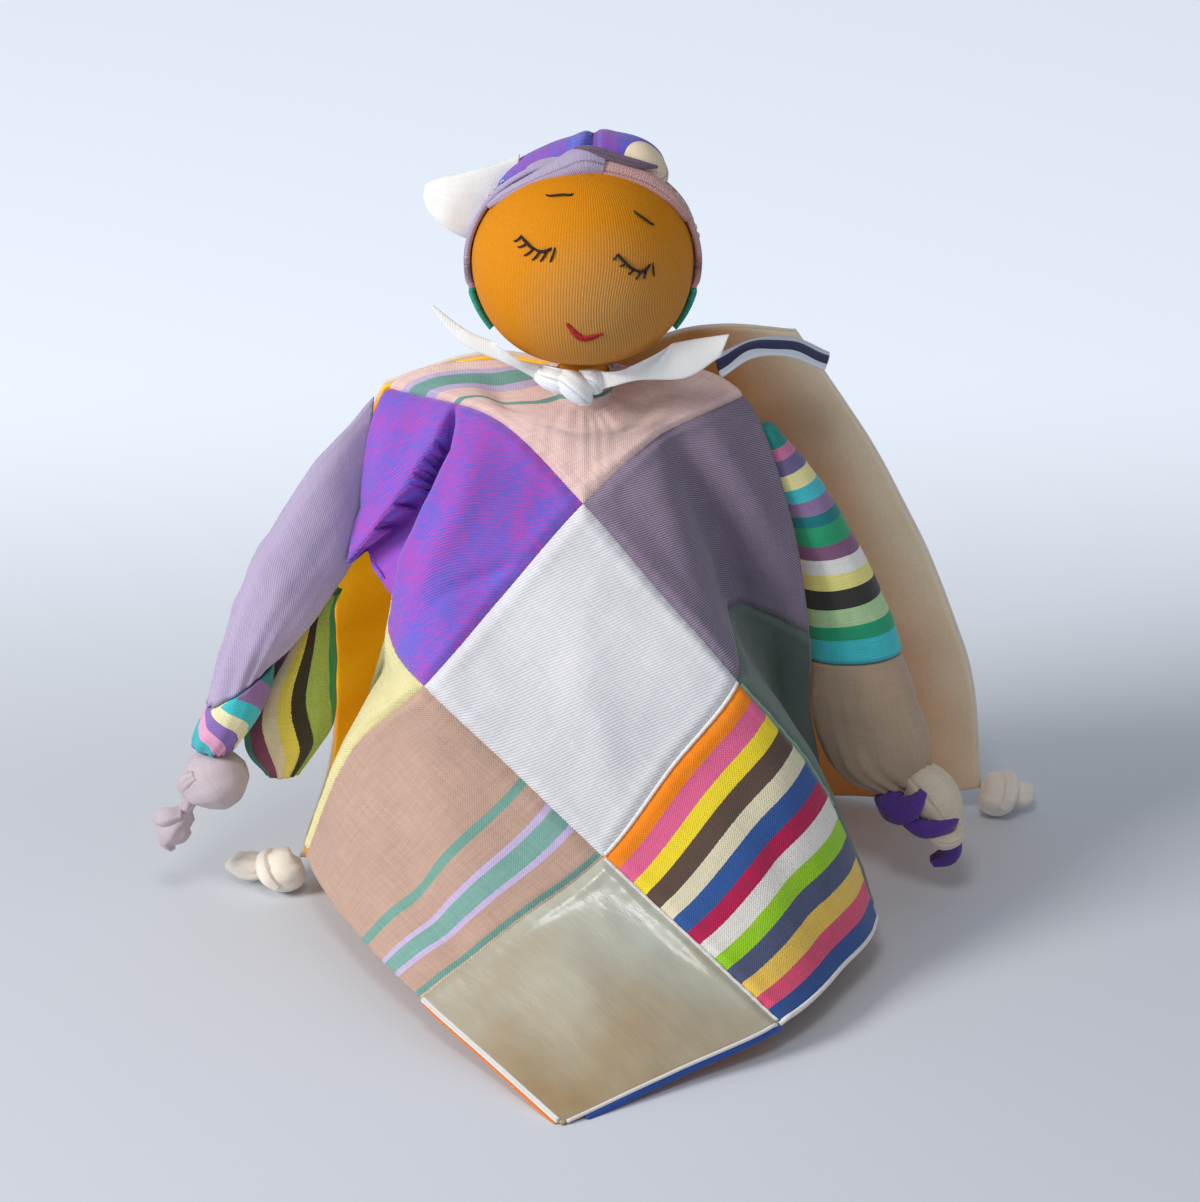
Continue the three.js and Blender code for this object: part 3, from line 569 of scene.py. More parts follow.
def label_tape():
    n = Nodes("label_tape")
    across = n.y + (n.x * 0.35).sine() * 0.5
    bands = stripes_of(
        (0.0, 226, 234, 244), (0.2, 30, 36, 84), (0.72, 214, 224, 238), (1.0, 226, 234, 244))
    n.bump((n.x * 12.0).sine() * (n.y * 12.0).sine() * 0.5 + 0.5, 0.06)
    return n.done(n.ramp(across / 12.0, bands, "CONSTANT"), 0.35, 0.5)


def knit_jersey():
    # Fine jersey: narrow wales, deeper orange towards the edges and paler round a point a little right
    # of and below the head's middle.
    n = Nodes("knit_jersey")
    wale, course = (n.x * (2 * math.pi / 1.1)).wave(), (n.y * (2 * math.pi / 0.8)).wave()
    here = n.place()
    across, _, up = n.split(here)
    across, up = across - (SHIFT.x + 9 * MM), up - (HEAD_MIDDLE * MM - 9 * MM)
    away = n.math("SQRT", across * across + up * up)
    near_middle = n.ramp(away * (1000 / 36), [(0.15, FULL), (0.95, NONE)])
    colour = n.mix(near_middle, linear(222, 138, 2), linear(214, 160, 92))
    colour = n.mix(n.noise(here, 45.0, 3.0) * 0.6 - 0.15, colour, linear(204, 134, 30))
    colour = n.mix(wale * wale * (near_middle * 0.62 + 0.22), colour, linear(160, 98, 34))
    tone = n.ramp(n.noise(here, 1100.0, 3.0), [(0.3, grey(0.9)), (0.7, FULL)])
    n.bump(wale + course * 0.3, 0.07)
    return n.done(n.shaded(colour, tone), 0.7, 0.15)


# Colours, as the photograph shows them in its evenly lit places

PEACH = linear(198, 164, 147)
PEACH_CHEST = linear(246, 210, 202)
VIOLET = linear(138, 98, 220)
MAGENTA = linear(190, 84, 200)
BLUE_FLECK = linear(66, 118, 226)
# MAUVE and its thread are darker than the mauve of the arms and hood: painted shade, as the chest's
# mauve lies in shade.
MAUVE = linear(108, 93, 114)
MAUVE_THREAD = linear(164, 150, 172)
OFF_WHITE = linear(222, 223, 232)
OFF_WHITE_THREAD = linear(236, 234, 232)
PALE_YELLOW = linear(238, 229, 168)
DARK_GREEN = linear(106, 122, 114)
LAVENDER = linear(205, 188, 226)
TEAL = linear(120, 170, 160)
CREAM = linear(246, 236, 220)
CREAM_DEEP = linear(226, 202, 172)


# Front cloth

# How deep and how wide a seam draws the cloth in, and how far apart its puckers are.
SEAM_DIP = 1.2
SEAM_REACH = 1.9
PUCKER_EVERY = 5.5
PATCH_CELLS = 72
# The cloth gathers round the neck above this level.
GATHERS = 22
GATHER_LEVEL = 150

# Folds drawn into the cloth: points in patch steps, width and height in millimetres.
FOLD_LINES = [
    ([(0.05, 1.1), (0.12, 1.3), (0.1, 1.5)], 8.0, 2.5),
    ([(0.55, 1.15), (0.64, 1.45), (0.62, 1.8)], 8.0, 2.2),
    ([(0.97, 1.33), (0.9, 1.5), (0.76, 1.72)], 2.4, -1.3),
    ([(1.0, 0.44), (1.26, 0.43), (1.45, 0.41), (1.72, 0.39), (2.0, 0.42)], 10.0, -8.5),
    ([(1.08, 0.3), (1.35, 0.2), (1.63, 0.12), (1.86, 0.08)], 8.0, 2.6),
    ([(1.1, 0.7), (1.4, 0.68), (1.75, 0.66)], 8.0, 1.6),
    ([(1.15, 0.86), (1.5, 0.84), (1.9, 0.86)], 5.0, -1.1),
    ([(1.25, 1.35), (1.5, 1.5), (1.9, 1.78)], 9.0, 1.2),
    ([(1.2, 2.2), (1.6, 2.35), (1.95, 2.4)], 9.0, 1.6),
    ([(1.3, 2.6), (1.7, 2.72), (1.98, 2.7)], 7.0, -1.4),
    ([(1.08, 2.25), (1.3, 2.45), (1.55, 2.6), (1.8, 2.7)], 10.0, -4.2),
    ([(2.08, 2.12), (2.2, 2.2), (2.34, 2.24)], 4.0, 0.5),
    ([(2.3, 2.05), (2.45, 2.1), (2.6, 2.1)], 5.0, -0.6),
    ([(2.1, 2.55), (2.45, 2.5), (2.85, 2.62)], 12.0, 1.0),
    ([(2.45, 2.28), (2.62, 2.3), (2.9, 2.32)], 8.0, 0.6),
    ([(2.15, 2.8), (2.5, 2.78), (2.9, 2.85)], 8.0, -1.0),
    ([(2.1, 1.3), (2.5, 1.45), (2.9, 1.5)], 9.0, -1.4),
    ([(2.05, 0.2), (2.4, 0.35), (2.9, 0.5)], 7.0, -3.0),
    ([(0.25, 0.25), (0.45, 0.5), (0.8, 0.85)], 10.0, 1.6),
    ([(0.1, 0.55), (0.3, 0.72), (0.55, 0.92)], 5.0, -1.8),
    ([(0.55, 0.1), (0.7, 0.35), (0.85, 0.6)], 5.0, -1.5),
]

# The deep fold in the violet patch: at each step along it, the edge of the flap that hangs
# over it, the edge where the cloth comes out again, and its depth in millimetres.
VALLEY_ALONG = [1.0, 1.12, 1.25, 1.44, 1.6, 1.7, 1.85, 2.0]
VALLEY_FLAP = [0.3, 0.31, 0.3, 0.225, 0.09, 0.0, -0.2, -0.3]
VALLEY_RISE = [0.33, 0.4, 0.46, 0.465, 0.45, 0.42, 0.43, 0.45]
VALLEY_DEPTH = [0.0, 6.0, 14.0, 19.0, 18.0, 12.5, 7.0, 2.0]
VALLEY_WALL = 0.035
# How far the cloth's free edge is drawn to the left and down past that fold.
SAG_ALONG = [1.5, 1.6, 1.7, 1.78, 1.88, 1.95, 2.0]
SAG_LEFT = [0, 5, 12, 11, 6, 1.5, 0]
SAG_DOWN = [0, 3, 8, 12, 10, 4, 0]


def soft_step(value):
    inside = np.clip(value, 0, 1)
    return inside * inside * (3 - 2 * inside)


def fold_height(u, v):
    # The folds' height at places on the front cloth.
    height = np.zeros(u.shape)
    for stations, width, rise in FOLD_LINES:
        line = spline_points(stations, 60)
        nearest = np.full(u.shape, 1e9)
        along = np.zeros(u.shape)
        for k, (a, b) in enumerate(line):
            distance = np.hypot(u - a, v - b) * PATCH_SIDE
            closer = distance < nearest
            nearest = np.where(closer, distance, nearest)
            along = np.where(closer, k / (len(line) - 1), along)
        fade = np.sin(np.pi * np.clip(0.12 + 0.76 * along, 0, 1))
        height += rise * fade * np.exp(-(nearest / width) ** 2)
    return height


def valley(u, v, wider):
    # The deep fold's height, and how far the flap's lip leans over it. The lining's own fold
    # is wider, so that it stays behind the walls.
    flap = np.interp(v, VALLEY_ALONG, VALLEY_FLAP) - 0.07 * wider
    rise = np.interp(v, VALLEY_ALONG, VALLEY_RISE) + 0.05 * wider
    depth = (np.interp(v, VALLEY_ALONG, VALLEY_DEPTH) + 3 * wider) * (v <= 2) * (u <= 1)
    part = (u - flap) / (rise - flap)
    over = soft_step((u - flap) / VALLEY_WALL) * (1 - soft_step((part - 0.48) / 0.52))
    lip = 0.28 * depth * np.exp(-((u - flap) / 0.06) ** 2) * (u < flap + 0.5 * VALLEY_WALL)
    return -depth * over, lip * (1 - wider)


def front_place(u, v, wider=0):
    # The front cloth's outer face and its outward direction at grids of patch steps.
    grid, down, across = net_slopes(FRONT_NET, u[:, 0] * 2, v[0] * 2)
    normal = unit(np.cross(across, down))
    seam_u, seam_v = (np.abs(way - np.clip(np.round(way), 1, 2)) * PATCH_SIDE for way in (u, v))
    seam = np.minimum(seam_u, seam_v)
    edge = np.minimum(np.minimum(u, 3 - u), np.minimum(v, 3 - v)) * PATCH_SIDE
    along = np.where(seam_u < seam_v, v, u) * PATCH_SIDE
    height = -SEAM_DIP * np.exp(-(seam / SEAM_REACH) ** 2) + 0.45 * np.exp(-((seam - 4.2) / 2.6) ** 2)
    pucker = np.sin(2 * np.pi * along / PUCKER_EVERY + 3 * np.sin(along / 13))
    height += 0.14 * pucker * np.exp(-seam / 4)
    height += fold_height(u, v)
    rumple = 1.1 * soft_noise(grid, 30.0, 3.0) + 0.35 * soft_noise(grid, 11.0, 8.0)
    height += rumple * np.clip(edge / 9, 0, 1)
    # Small gathers run out from the neck.
    reach = np.hypot(grid[..., 0], grid[..., 1])
    bearing = np.arctan2(grid[..., 1], grid[..., 0])
    gathers = np.sin(GATHERS * bearing + 2 * np.sin(5 * bearing)) * np.exp(-(reach - 10) / 7)
    height += 0.6 * gathers * (grid[..., 2] > GATHER_LEVEL) * np.clip((reach - 9) / 6, 0, 1)
    deep, lip = valley(u, v, wider)
    sag = np.exp(-(u / 0.2) ** 2) * (v <= 2)
    left, low = (np.interp(v, SAG_ALONG, table) for table in (SAG_LEFT, SAG_DOWN))
    pull = np.stack([-left, np.zeros(v.shape), -low], axis=-1)
    grid = grid + unit(down) * lip[..., None] + pull * sag[..., None]
    return grid + normal * (height + deep)[..., None], normal


# How far the hip's stripes lie towards the tip: at places along u in millimetres, at the
# start, the middle and the end of the patch along v.
HIP_AT = [0, 48, 61, 73, 84, 88]
HIP_SHIFT = np.array([[0, 0, 0, 0, 0, 0], [3, 7, 7, 4, 0, 0], [2, 3.5, 5.5, 1, 0, 0]], dtype=float)


def hip_shift(u, v):
    # How far the hip's stripes are moved at places on its patch.
    places = (u - 1) * PATCH_SIDE
    rows = np.array([np.interp(places[:, 0], HIP_AT, row) for row in HIP_SHIFT])
    return (spline_weights(3, (v[0] - 2) * 2) @ rows).T


# The neck's band leaves the cloth outside this reach, above this height in metres.
COLLAR = 10.7
COLLAR_BASE = 0.17


def keep_above_floor(piece):
    for vertex in piece.data.vertices:
        vertex.co.z = max(vertex.co.z, 0.0)


def keep_out_of_neck(piece):
    # Cloth inside the neck's band is drawn out to it.
    for vertex in piece.data.vertices:
        x, y, z = vertex.co - SHIFT
        reach = math.hypot(x, y) / MM
        if reach < COLLAR and z > COLLAR_BASE:
            grow = COLLAR / max(reach, 0.5)
            vertex.co.x, vertex.co.y = SHIFT.x + x * grow, SHIFT.y + y * grow


def dress(piece, material, body, node, crossing=None):
    # node is the CAD node or nodes that the piece stands for. crossing gives the body before a
    # joint and where the cloth starts and ends; with it, the piece is baked where it stands and not
    # attached to body.
    piece.data.materials.clear()
    piece.data.materials.append(material)
    if crossing:
        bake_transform(piece)
    else:
        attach(piece, body)
    if node:
        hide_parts(*([node] if isinstance(node, str) else node))


def cloth_sheet(name, node, grid, normal, under, thick, uv, material):
    # A sheet of the body's cloth, from its place and direction at a grid.
    piece = shell(name, grid - normal * under, normal, thick, uv)
    keep_above_floor(piece)
    keep_out_of_neck(piece)
    dress(piece, material, "cloth", node)
    return piece


def front_piece(name, node, first, last, material, slot, under=0.0, inset=0.0, turn=0.0, flat=None,
                area=None, shift=None):
    # A piece of the front cloth or its lining between two places in patch steps. turn and shift
    # change how its pattern lies.
    edge = inset / PATCH_SIDE
    steps = [np.linspace(a + edge, b - edge, PATCH_CELLS * (b - a) + 1) for a, b in zip(first, last)]
    u, v = np.meshgrid(*steps, indexing="ij")
    grid, normal = front_place(u, v, 1 if under else 0)
    uv = np.stack([u * PATCH_SIDE, v * PATCH_SIDE], axis=-1)
    if shift:
        uv[..., 0] -= shift(u, v)
    if turn:
        c, s = math.cos(math.radians(turn)), math.sin(math.radians(turn))
        uv = np.stack([uv[..., 0] * c - uv[..., 1] * s, uv[..., 0] * s + uv[..., 1] * c], axis=-1)
    thick = LINING_THICK if under else PATCH_THICK
    piece = cloth_sheet(name, node, grid, normal, under, thick, uv, material)
    wide, long = flat or [(b - a) * PATCH_SIDE for a, b in zip(first, last)]
    held = "gathered" if first[0] == 0 else "draped"
    wide * MM
    long * MM
    area and area * MM * MM


def seam_cord(name, first, last, radius, lift, material, out=0.0):
    # A trim along a line of the front cloth, from one place to another in patch steps.
    # lift raises it from the cloth and out moves it past the cloth's edge.
    count = 90
    # The line runs along v or along u, and the step before it gives the way out.
    along_v = first[0] == last[0]
    if along_v:
        u, v = np.full((1, count), float(first[0])), np.linspace(first[1], last[1], count)[None]
    else:
        u, v = np.linspace(first[0], last[0], count)[:, None], np.full((count, 1), float(first[1]))
    grid, normal = front_place(u, v)
    before, _ = front_place(u - SLOPE_STEP * along_v, v - SLOPE_STEP * (not along_v))
    path = (grid + normal * lift + unit(grid - before) * out).reshape(-1, 3)
    piece = tube(name, path, [radius] * count, sides=10)
    keep_above_floor(piece)
    dress(piece, material, "cloth", None)


def make_trims():
    # White piping in the seams, a rolled white hem and the linings that peep out below it.
    fine = {"pitch": 0.7, "relief": 0.1}
    white = woven("piping_cotton", linear(240, 238, 234), mottle=0.25, **fine)
    green = woven("green_edge", linear(150, 184, 160), mottle=0.3, **fine)
    orange = woven("orange_edge", linear(240, 132, 50), mottle=0.3, **fine)
    blue = woven("blue_edge", linear(40, 78, 160), linear(52, 96, 176), mottle=0.4, **fine)
    seam_cord("belly_piping", (2, 1.01), (2, 1.99), 0.75, 0.5, white)
    seam_cord("satin_piping", (2.01, 2), (2.99, 2), 0.6, 0.45, white)
    seam_cord("striped_hem", (3, 1.01), (3, 2.0), 1.0, -0.5, white, out=0.3)
    seam_cord("satin_hem", (2.02, 3), (2.98, 3), 1.1, -0.4, white, out=0.3)
    seam_cord("orange_hem", (2.04, 3), (2.98, 3), 1.0, -2.0, orange, out=0.9)
    seam_cord("satin_edge", (3, 2.02), (3, 2.98), 0.7, -0.4, white, out=0.2)
    seam_cord("blue_hem", (3, 2.0), (3, 2.9), 1.5, -2.2, blue, out=0.9)
    seam_cord("green_trim", (2.02, 1), (2.6, 1), 0.8, 0.4, green)


# Where each stripe starts from its patch's edge, and its colour.
HIP_STRIPES = stripes_of(
    (0, PEACH), (47, 122, 168, 156), (50.5, PEACH), (60, LAVENDER), (63, 130, 176, 166),
    (71, LAVENDER), (74, PEACH), (84.5, 120, 166, 156), (86.8, 222, 196, 176))
CHEST_STRIPES = stripes_of(
    (0, PEACH_CHEST), (5, LAVENDER), (7.5, TEAL), (14.5, LAVENDER), (18.5, PEACH_CHEST), (26, TEAL),
    (28.5, PEACH_CHEST), (60, PEACH_CHEST))
BOLD_STRIPES = stripes_of(
    (0, 255, 142, 24), (7, 236, 106, 152), (13.5, 252, 226, 50), (20.5, 98, 78, 68),
    (27.5, 232, 222, 190), (34, 52, 92, 160), (41, 190, 32, 84), (47.5, 238, 234, 226),
    (54, 160, 216, 40), (61, 84, 92, 124), (68, 248, 206, 92), (75, 232, 84, 122),
    (81.5, 44, 84, 150), (88, 44, 84, 150))


def offset_stripes(stripes, start):
    # The same stripes on a cloth whose uv counts from the neck.
    return [(0, stripes[0][1])] + [(start + at, tint) for at, tint in stripes]


def make_front():
    chest = woven("peach_chest_cloth", PEACH_CHEST, stripes=CHEST_STRIPES)
    violet = shot_cloth("violet_shot_cloth", VIOLET, MAGENTA, BLUE_FLECK)
    yellow = woven("yellow_cloth", PALE_YELLOW, mottle=0.3)
    mauve = woven("mauve_cloth", MAUVE, MAUVE_THREAD, weave="twill", pitch=0.85, relief=0.12)
    white = woven("white_twill", OFF_WHITE, OFF_WHITE_THREAD, weave="twill", mottle=0.3, pitch=1.05,
                  relief=0.14)
    stripes = offset_stripes(HIP_STRIPES, PATCH_SIDE)
    hip = woven("peach_hip_cloth", PEACH, stripes=stripes, mottle=0.45)
    green = woven("green_cloth", DARK_GREEN, mottle=0.4, pitch=0.8)
    stripes = offset_stripes(BOLD_STRIPES, 2 * PATCH_SIDE)
    bold = woven("bold_striped_cloth", PEACH, stripes=stripes, mottle=0.3)
    satin = satin_cloth("satin", linear(190, 194, 182), linear(160, 128, 78))
    for name, u, v, material, slot, more in (
        ("peach_chest", 0, 0, chest, "peach", {"area": 5600}),
        ("violet_chest", 0, 1, violet, "violet", {"turn": 45}),
        ("yellow_side", 0, 2, yellow, "yellow", {"flat": (66, 98), "area": 4500}),
        ("mauve_chest", 1, 0, mauve, "mauve", {}),
        ("white_belly", 1, 1, white, "white", {}),
        ("peach_hip", 1, 2, hip, "peach", {"shift": hip_shift}),
        ("green_side", 2, 0, green, "green", {}),
        ("striped_hip", 2, 1, bold, "stripes", {}),
        ("satin_corner", 2, 2, satin, "satin", {}),
    ):
        front_piece(name, "patch_" + name, (u, v), (u + 1, v + 1), material, slot, **more)
    orange = woven("orange_lining", linear(226, 128, 40), linear(236, 150, 70), mottle=0.4)
    blue = woven("blue_lining", linear(52, 92, 160), linear(60, 130, 150), mottle=0.4)
    cream = woven("cream_lining", CREAM, mottle=0.3)
    for name, first, last, material, slot, inset, area in (
        ("chest", (0, 0), (1, 2), cream, "cream", 2.6, 12800),
        ("orange", (1, 2), (3, 3), orange, "orange", 0.3, None),
        ("blue", (2, 1), (3, 2), blue, "blue", 0.3, None),
    ):
        front_piece(f"{name}_lining", "lining_" + name, first, last, material, slot,
                    under=LINING_UNDER, inset=inset, area=area)


# Back cloth

BACK_CELLS = 44
# What one step of the back's net measures across and down.
BACK_STEP = (55, 68)
FLANNEL_BEHIND = 1.3
# The lining's own yellow and orange bands, made as bright as they go: partly painted light, like the
# lining's glow.
LINING_BANDS = stripes_of(
    (0, 250, 204, 60), (12, 226, 150, 24), (24, 250, 200, 40), (37, 222, 132, 20), (48, 244, 186, 34),
    (58, 212, 140, 24), (69, 240, 182, 30), (80, 214, 158, 24), (92, 250, 196, 36), (105, 220, 136, 20),
    (118, 244, 188, 34), (132, 218, 132, 20), (150, 240, 178, 32), (170, 218, 134, 20),
    (205, 236, 172, 30))


def back_piece(name, node, first, last, material, thick, under, inset):
    # A half of the back cloth or its lining, between two steps of its width.
    listed_s = np.linspace(first + inset, last - inset, 2 * BACK_CELLS + 1)
    listed_t = np.linspace(inset, 3 - inset, 3 * BACK_CELLS + 1)
    s, t = np.meshgrid(listed_s, listed_t, indexing="ij")
    grid, down, across = (np.swapaxes(part, 0, 1) for part in net_slopes(BACK_NET, listed_t, listed_s))
    normal = unit(np.cross(down, across))
    height = 2.2 * np.sin(2.2 * s * np.pi + 0.6 * t) * np.clip(t / 3, 0, 1)
    height += 1.4 * soft_noise(grid, 34.0, 21.0) + 0.4 * soft_noise(grid, 12.0, 5.0)
    middle_seam = np.abs(s - 2) * BACK_STEP[0]
    height -= 0.9 * np.exp(-(middle_seam / 2.0) ** 2)
    grid = grid + normal * height[..., None]
    uv = np.stack([s * BACK_STEP[0], t * BACK_STEP[1]], axis=-1)
    piece = cloth_sheet(name, node, grid, normal, under, thick, uv, material)


def make_back():
    cream = flannel("cream_flannel", CREAM, CREAM_DEEP)
    banded = banded_lining("banded_lining", LINING_BANDS)
    brown = shaded_lining("peach_lining", linear(222, 152, 82), linear(255, 234, 204))
    sides = (("l", "left", 0, banded, "orange"), ("r", "right", 2, brown, "cream"))
    for short, side, first, _, _ in sides:
        back_piece(f"back_cloth_{short}", f"back_cloth_{side}", first, first + 2, cream, PATCH_THICK,
                   FLANNEL_BEHIND, 0.0)
    for short, side, first, lining, slot in sides:
        back_piece(f"back_lining_{short}", f"back_lining_{side}", first, first + 2, lining, LINING_THICK,
                   0.0, 0.01)


# Head

HEAD_ROWS = 150
HEAD_COLUMNS = 220
JAW_FULLNESS = 0.83
HALF_HEAD = np.array([HEAD_WIDTH, HEAD_DEPTH, HEAD_HEIGHT]) / 2
HEAD_CENTRE = np.array([0, 0, HEAD_MIDDLE])


def head_point(longitude, latitude):
    # Longitude 0 faces the viewer and grows to the right; latitude 0 is the widest level.
    flat = np.cos(latitude) ** np.where(latitude < 0, JAW_FULLNESS, 1.0)
    round_head = [flat * np.sin(longitude), -flat * np.cos(longitude), np.sin(latitude)]
    return np.stack(round_head, axis=-1) * HALF_HEAD + HEAD_CENTRE


def head_level(up, tall):
    # How wide the head is at a height, as a square of its share.
    return (1 - (up / tall) ** 2) ** (JAW_FULLNESS if up < 0 else 1.0)


def on_face(across, up, lift=0.0):
    # A point on the head by its place across and up, as seen from the front.
    a, b, c = HALF_HEAD + lift
    depth = math.sqrt(max(0.0, head_level(up, c) - (across / a) ** 2))
    return np.array([across, -b * depth, HEAD_MIDDLE + up])


def make_head():
    latitudes = np.linspace(-math.pi / 2 + 0.2, math.pi / 2 - 0.02, HEAD_ROWS)
    longitudes = np.linspace(-math.pi, math.pi, HEAD_COLUMNS, endpoint=False)
    latitude, longitude = np.meshgrid(latitudes, longitudes, indexing="ij")
    grid = head_point(longitude, latitude)
    x, z = grid[..., 0], grid[..., 2] - HEAD_MIDDLE
    height = 0.35 * soft_noise(grid, 26.0, 2.0)
    cheeks = sum(
        np.exp(-((x - side) ** 2 + (z + drop) ** 2) / 260) for side, drop in ((22, 12), (-22, 10)))
    height += 0.5 * cheeks * (grid[..., 1] < 0)
    grid = grid + unit(grid - HEAD_CENTRE) * height[..., None]
    # The knit's ribs run straight down, bent a little over the right cheek.
    bend = 6.5 * np.exp(-((z + 5) / 13) ** 2) * np.clip((x + 12) / 34, 0, 1) ** 1.5
    rib = 0.5 * (x + HEAD_WIDTH / 2 * longitude) + bend * np.clip(-grid[..., 1] / 20, 0, 1)
    uv = np.stack([rib, latitude * HEAD_HEIGHT / 2], axis=-1)
    faces = grid_faces(HEAD_ROWS, HEAD_COLUMNS, closed=True)
    top, bottom = grid[..., 0].size, grid[..., 0].size + 1
    poles = [[0, 0, HEAD_BASE + HEAD_HEIGHT], grid[0].mean(axis=0)]
    points = np.concatenate([grid.reshape(-1, 3), poles])
    uvs = np.concatenate([uv.reshape(-1, 2), [[0, 56], [0, -56]]])
    upper = (HEAD_ROWS - 1) * HEAD_COLUMNS
    for c in range(HEAD_COLUMNS):
        follow = (c + 1) % HEAD_COLUMNS
        faces += [(top, upper + c, upper + follow), (bottom, follow, c)]
    skin = finish_mesh("head_knit", points, faces, uvs)
    dress(skin, knit_jersey(), "head", ["head_skin", "head_core"])


# Face: thread laid on the knit

BROW_LINES = {
    "left": [[-12.7, 30.3], [-7.5, 31.4], [-3.3, 31.4]],
    "right": [[17.8, 25.8], [21.6, 23.3], [24.7, 20.6]],
}
EYE_LINES = {
    "left": {
        "lid": [[-21.3, 18.5], [-15.8, 15.5], [-9.5, 17]],
        "lashes": [[-23.8, 16.4], [-22.4, 15], [-20.3, 12.9], [-17.5, 12], [-14.7, 12], [-11.3, 12.2]],
    },
    "right": {
        "lid": [[12.2, 14.6], [19.1, 8.2], [24.3, 9.7]],
        "lashes": [[10.5, 13.2], [12.9, 10.8], [15.7, 7.8], [18.4, 5.5], [21.2, 5], [24.7, 5]],
    },
}
LID_POINTS = 21
LIPS = [(-5.8, -9), (-0.2, -15.6), (7.4, -13.8)]


def stitch(name, stations, radius, sink=0.15):
    # A thread over the knit, dipping into it at both ends.
    line = spline_points(stations, 14)
    path, radii = [], []
    for k, (x, z) in enumerate(line):
        t = k / (len(line) - 1)
        rise = math.sin(math.pi * t) ** 0.4 if 0 < t < 1 else 0.0
        path.append(on_face(x, z, 0.45 + radius * rise - sink - 0.5 * (1 - rise)))
        radii.append(radius * (0.65 + 0.35 * rise))
    return tube(name, path, radii, sides=8, twist=5.0)


def make_face():
    black = thread_material("black_thread", linear(34, 28, 28))
    for side, stations in BROW_LINES.items():
        dress(stitch(f"brow_{side}_thread", stations, 0.42), black, "head", f"brow_{side}")
    half = LID_POINTS // 2
    for side, lines in EYE_LINES.items():
        lid = spline_points(lines["lid"], LID_POINTS)
        parts = [stitch("lid_a", lid[:half + 2:3], 0.55), stitch("lid_b", lid[half - 1::3], 0.55)]
        for k, tip in enumerate(lines["lashes"]):
            root = lid[round(k * (LID_POINTS - 1) / (len(lines["lashes"]) - 1))]
            parts.append(stitch("lash", [root, tip], 0.36))
        dress(joined(f"eye_{side}_threads", parts), black, "head", f"eye_{side}")
    curve = spline_points(LIPS, 24)
    parts = []
    for k in range(1, len(curve) - 1):
        t = k / (len(curve) - 1)
        half = 0.25 + 1.25 * math.sin(math.pi * t) ** 0.9
        ahead = curve[k + 1] - curve[k - 1]
        across = np.array([-ahead[1], ahead[0]]) / np.linalg.norm(ahead)
        a, b = curve[k] - across * half, curve[k] + across * half
        parts.append(stitch("satin_stitch", [a, (a + b) / 2, b], 0.34, 0.05))
    red = thread_material("red_thread", linear(200, 26, 24), 0.6)
    dress(joined("mouth_stitches", parts), red, "head", "mouth")


# Neck and its bands

NECK_PROFILE = [(8.6, 195.0), (8.6, 208.0), (8.2, 211.0), (7.4, 213.6), (6.6, 216.4), (5.0, 218.0)]
TIE_REACH = 9.4


def make_neck():
    path = [(0, 0, z) for _, z in NECK_PROFILE]
    stub = tube("neck_knit", path, [r for r, _ in NECK_PROFILE], sides=48,
                shape=lambda t, angle: 1 + 0.03 * math.sin(22 * angle))
    dress(stub, knit_jersey(), "neck", "neck_stub")
    turns = []
    for k in range(46):
        angle = 2 * math.pi * k / 15
        turns.append((TIE_REACH * math.cos(angle), TIE_REACH * math.sin(angle), 200.2 + 2.6 * k / 45))
    wool = thread_material("neck_wool", linear(236, 226, 208), 0.2)
    thread = tube("neck_tie", turns, [0.6] * len(turns), sides=8, twist=20)
    dress(thread, wool, "cloth", "neck_thread")


# Ribbon

RIBBON_RING = 10.0
RIBBON_THICK = 0.6
# Where the knot lies. The tails and the knot's folds are points from there, each strip by its
# upper and its lower edge.
RIBBON_KNOT = np.array([-4, -15, 211.6])
TAIL_RIGHT = [
    [[4, 1, 3], [14, -0.5, 7.5], [24, -1.5, 12.5], [40, -2, 16.5], [55, -2, 19]],
    [[4, -2, -3.5], [14, -3.5, 0], [24, -4.5, 3], [40, -5, 4], [52, -4, 11.5]],
]
TAIL_LEFT = [
    [[-8, 0, 4.5], [-21, -2, 13.5], [-34, -1, 18.5], [-41, 1, 22.5], [-49, 3, 28.5]],
    [[-8, -2, -0.7], [-21, -4, 8], [-34, -3, 13.5], [-41, -1, 18], [-48, 2, 26]],
]
LABEL = [
    [[49, 8.5, 203.8], [60, 13, 209.5], [73, 17, 208.5], [86, 20, 202]],
    [[47, 19, 207.3], [61, 25, 211], [75, 29, 210], [88, 32, 203]],
]


def strip_piece(name, edges, thick, cup, cells=(14, 72), doubled=0.0):
    # A narrow strip between two edges, cupped across its width. doubled says how far apart its
    # two halves lie where it is folded along its middle. Gives its length and width as well.
    top, low = np.array(edges, dtype=float)
    columns = np.linspace(0, len(top) - 1, cells[1] + 1)
    upper, lower = (spline_weights(len(top), columns) @ edge for edge in (top, low))
    part = np.linspace(0, 1, cells[0] + 1)
    rows = part[:, None, None]
    flat = upper[None] * (1 - rows) + lower[None] * rows
    normal = grid_normals(flat)
    wave = 0.5 * np.sin(columns * 2.1)[None, :]
    belly = np.sin(np.pi * part)[:, None]
    grid = flat + normal * ((belly * cup) + wave * belly)[..., None] + normal * (thick / 2)
    if doubled:
        rows = belly[..., None]
        aside = (doubled / 2 * np.cos(np.pi * part))[:, None, None]
        grid = lower[None] * rows + upper[None] * (1 - rows) + normal[:1] * aside
        normal = grid_normals(grid)
    length = distances((upper + lower) / 2)
    width = np.linalg.norm(np.diff(grid, axis=0), axis=2).sum(axis=0).mean()
    uv = np.stack(np.meshgrid(length, np.linspace(0, width, cells[0] + 1)), axis=-1)
    return shell(name, grid, normal, thick, uv), length[-1], width


# As far as the neck_nod joint lets the chin down.
LOWEST_NOD = math.radians(4)


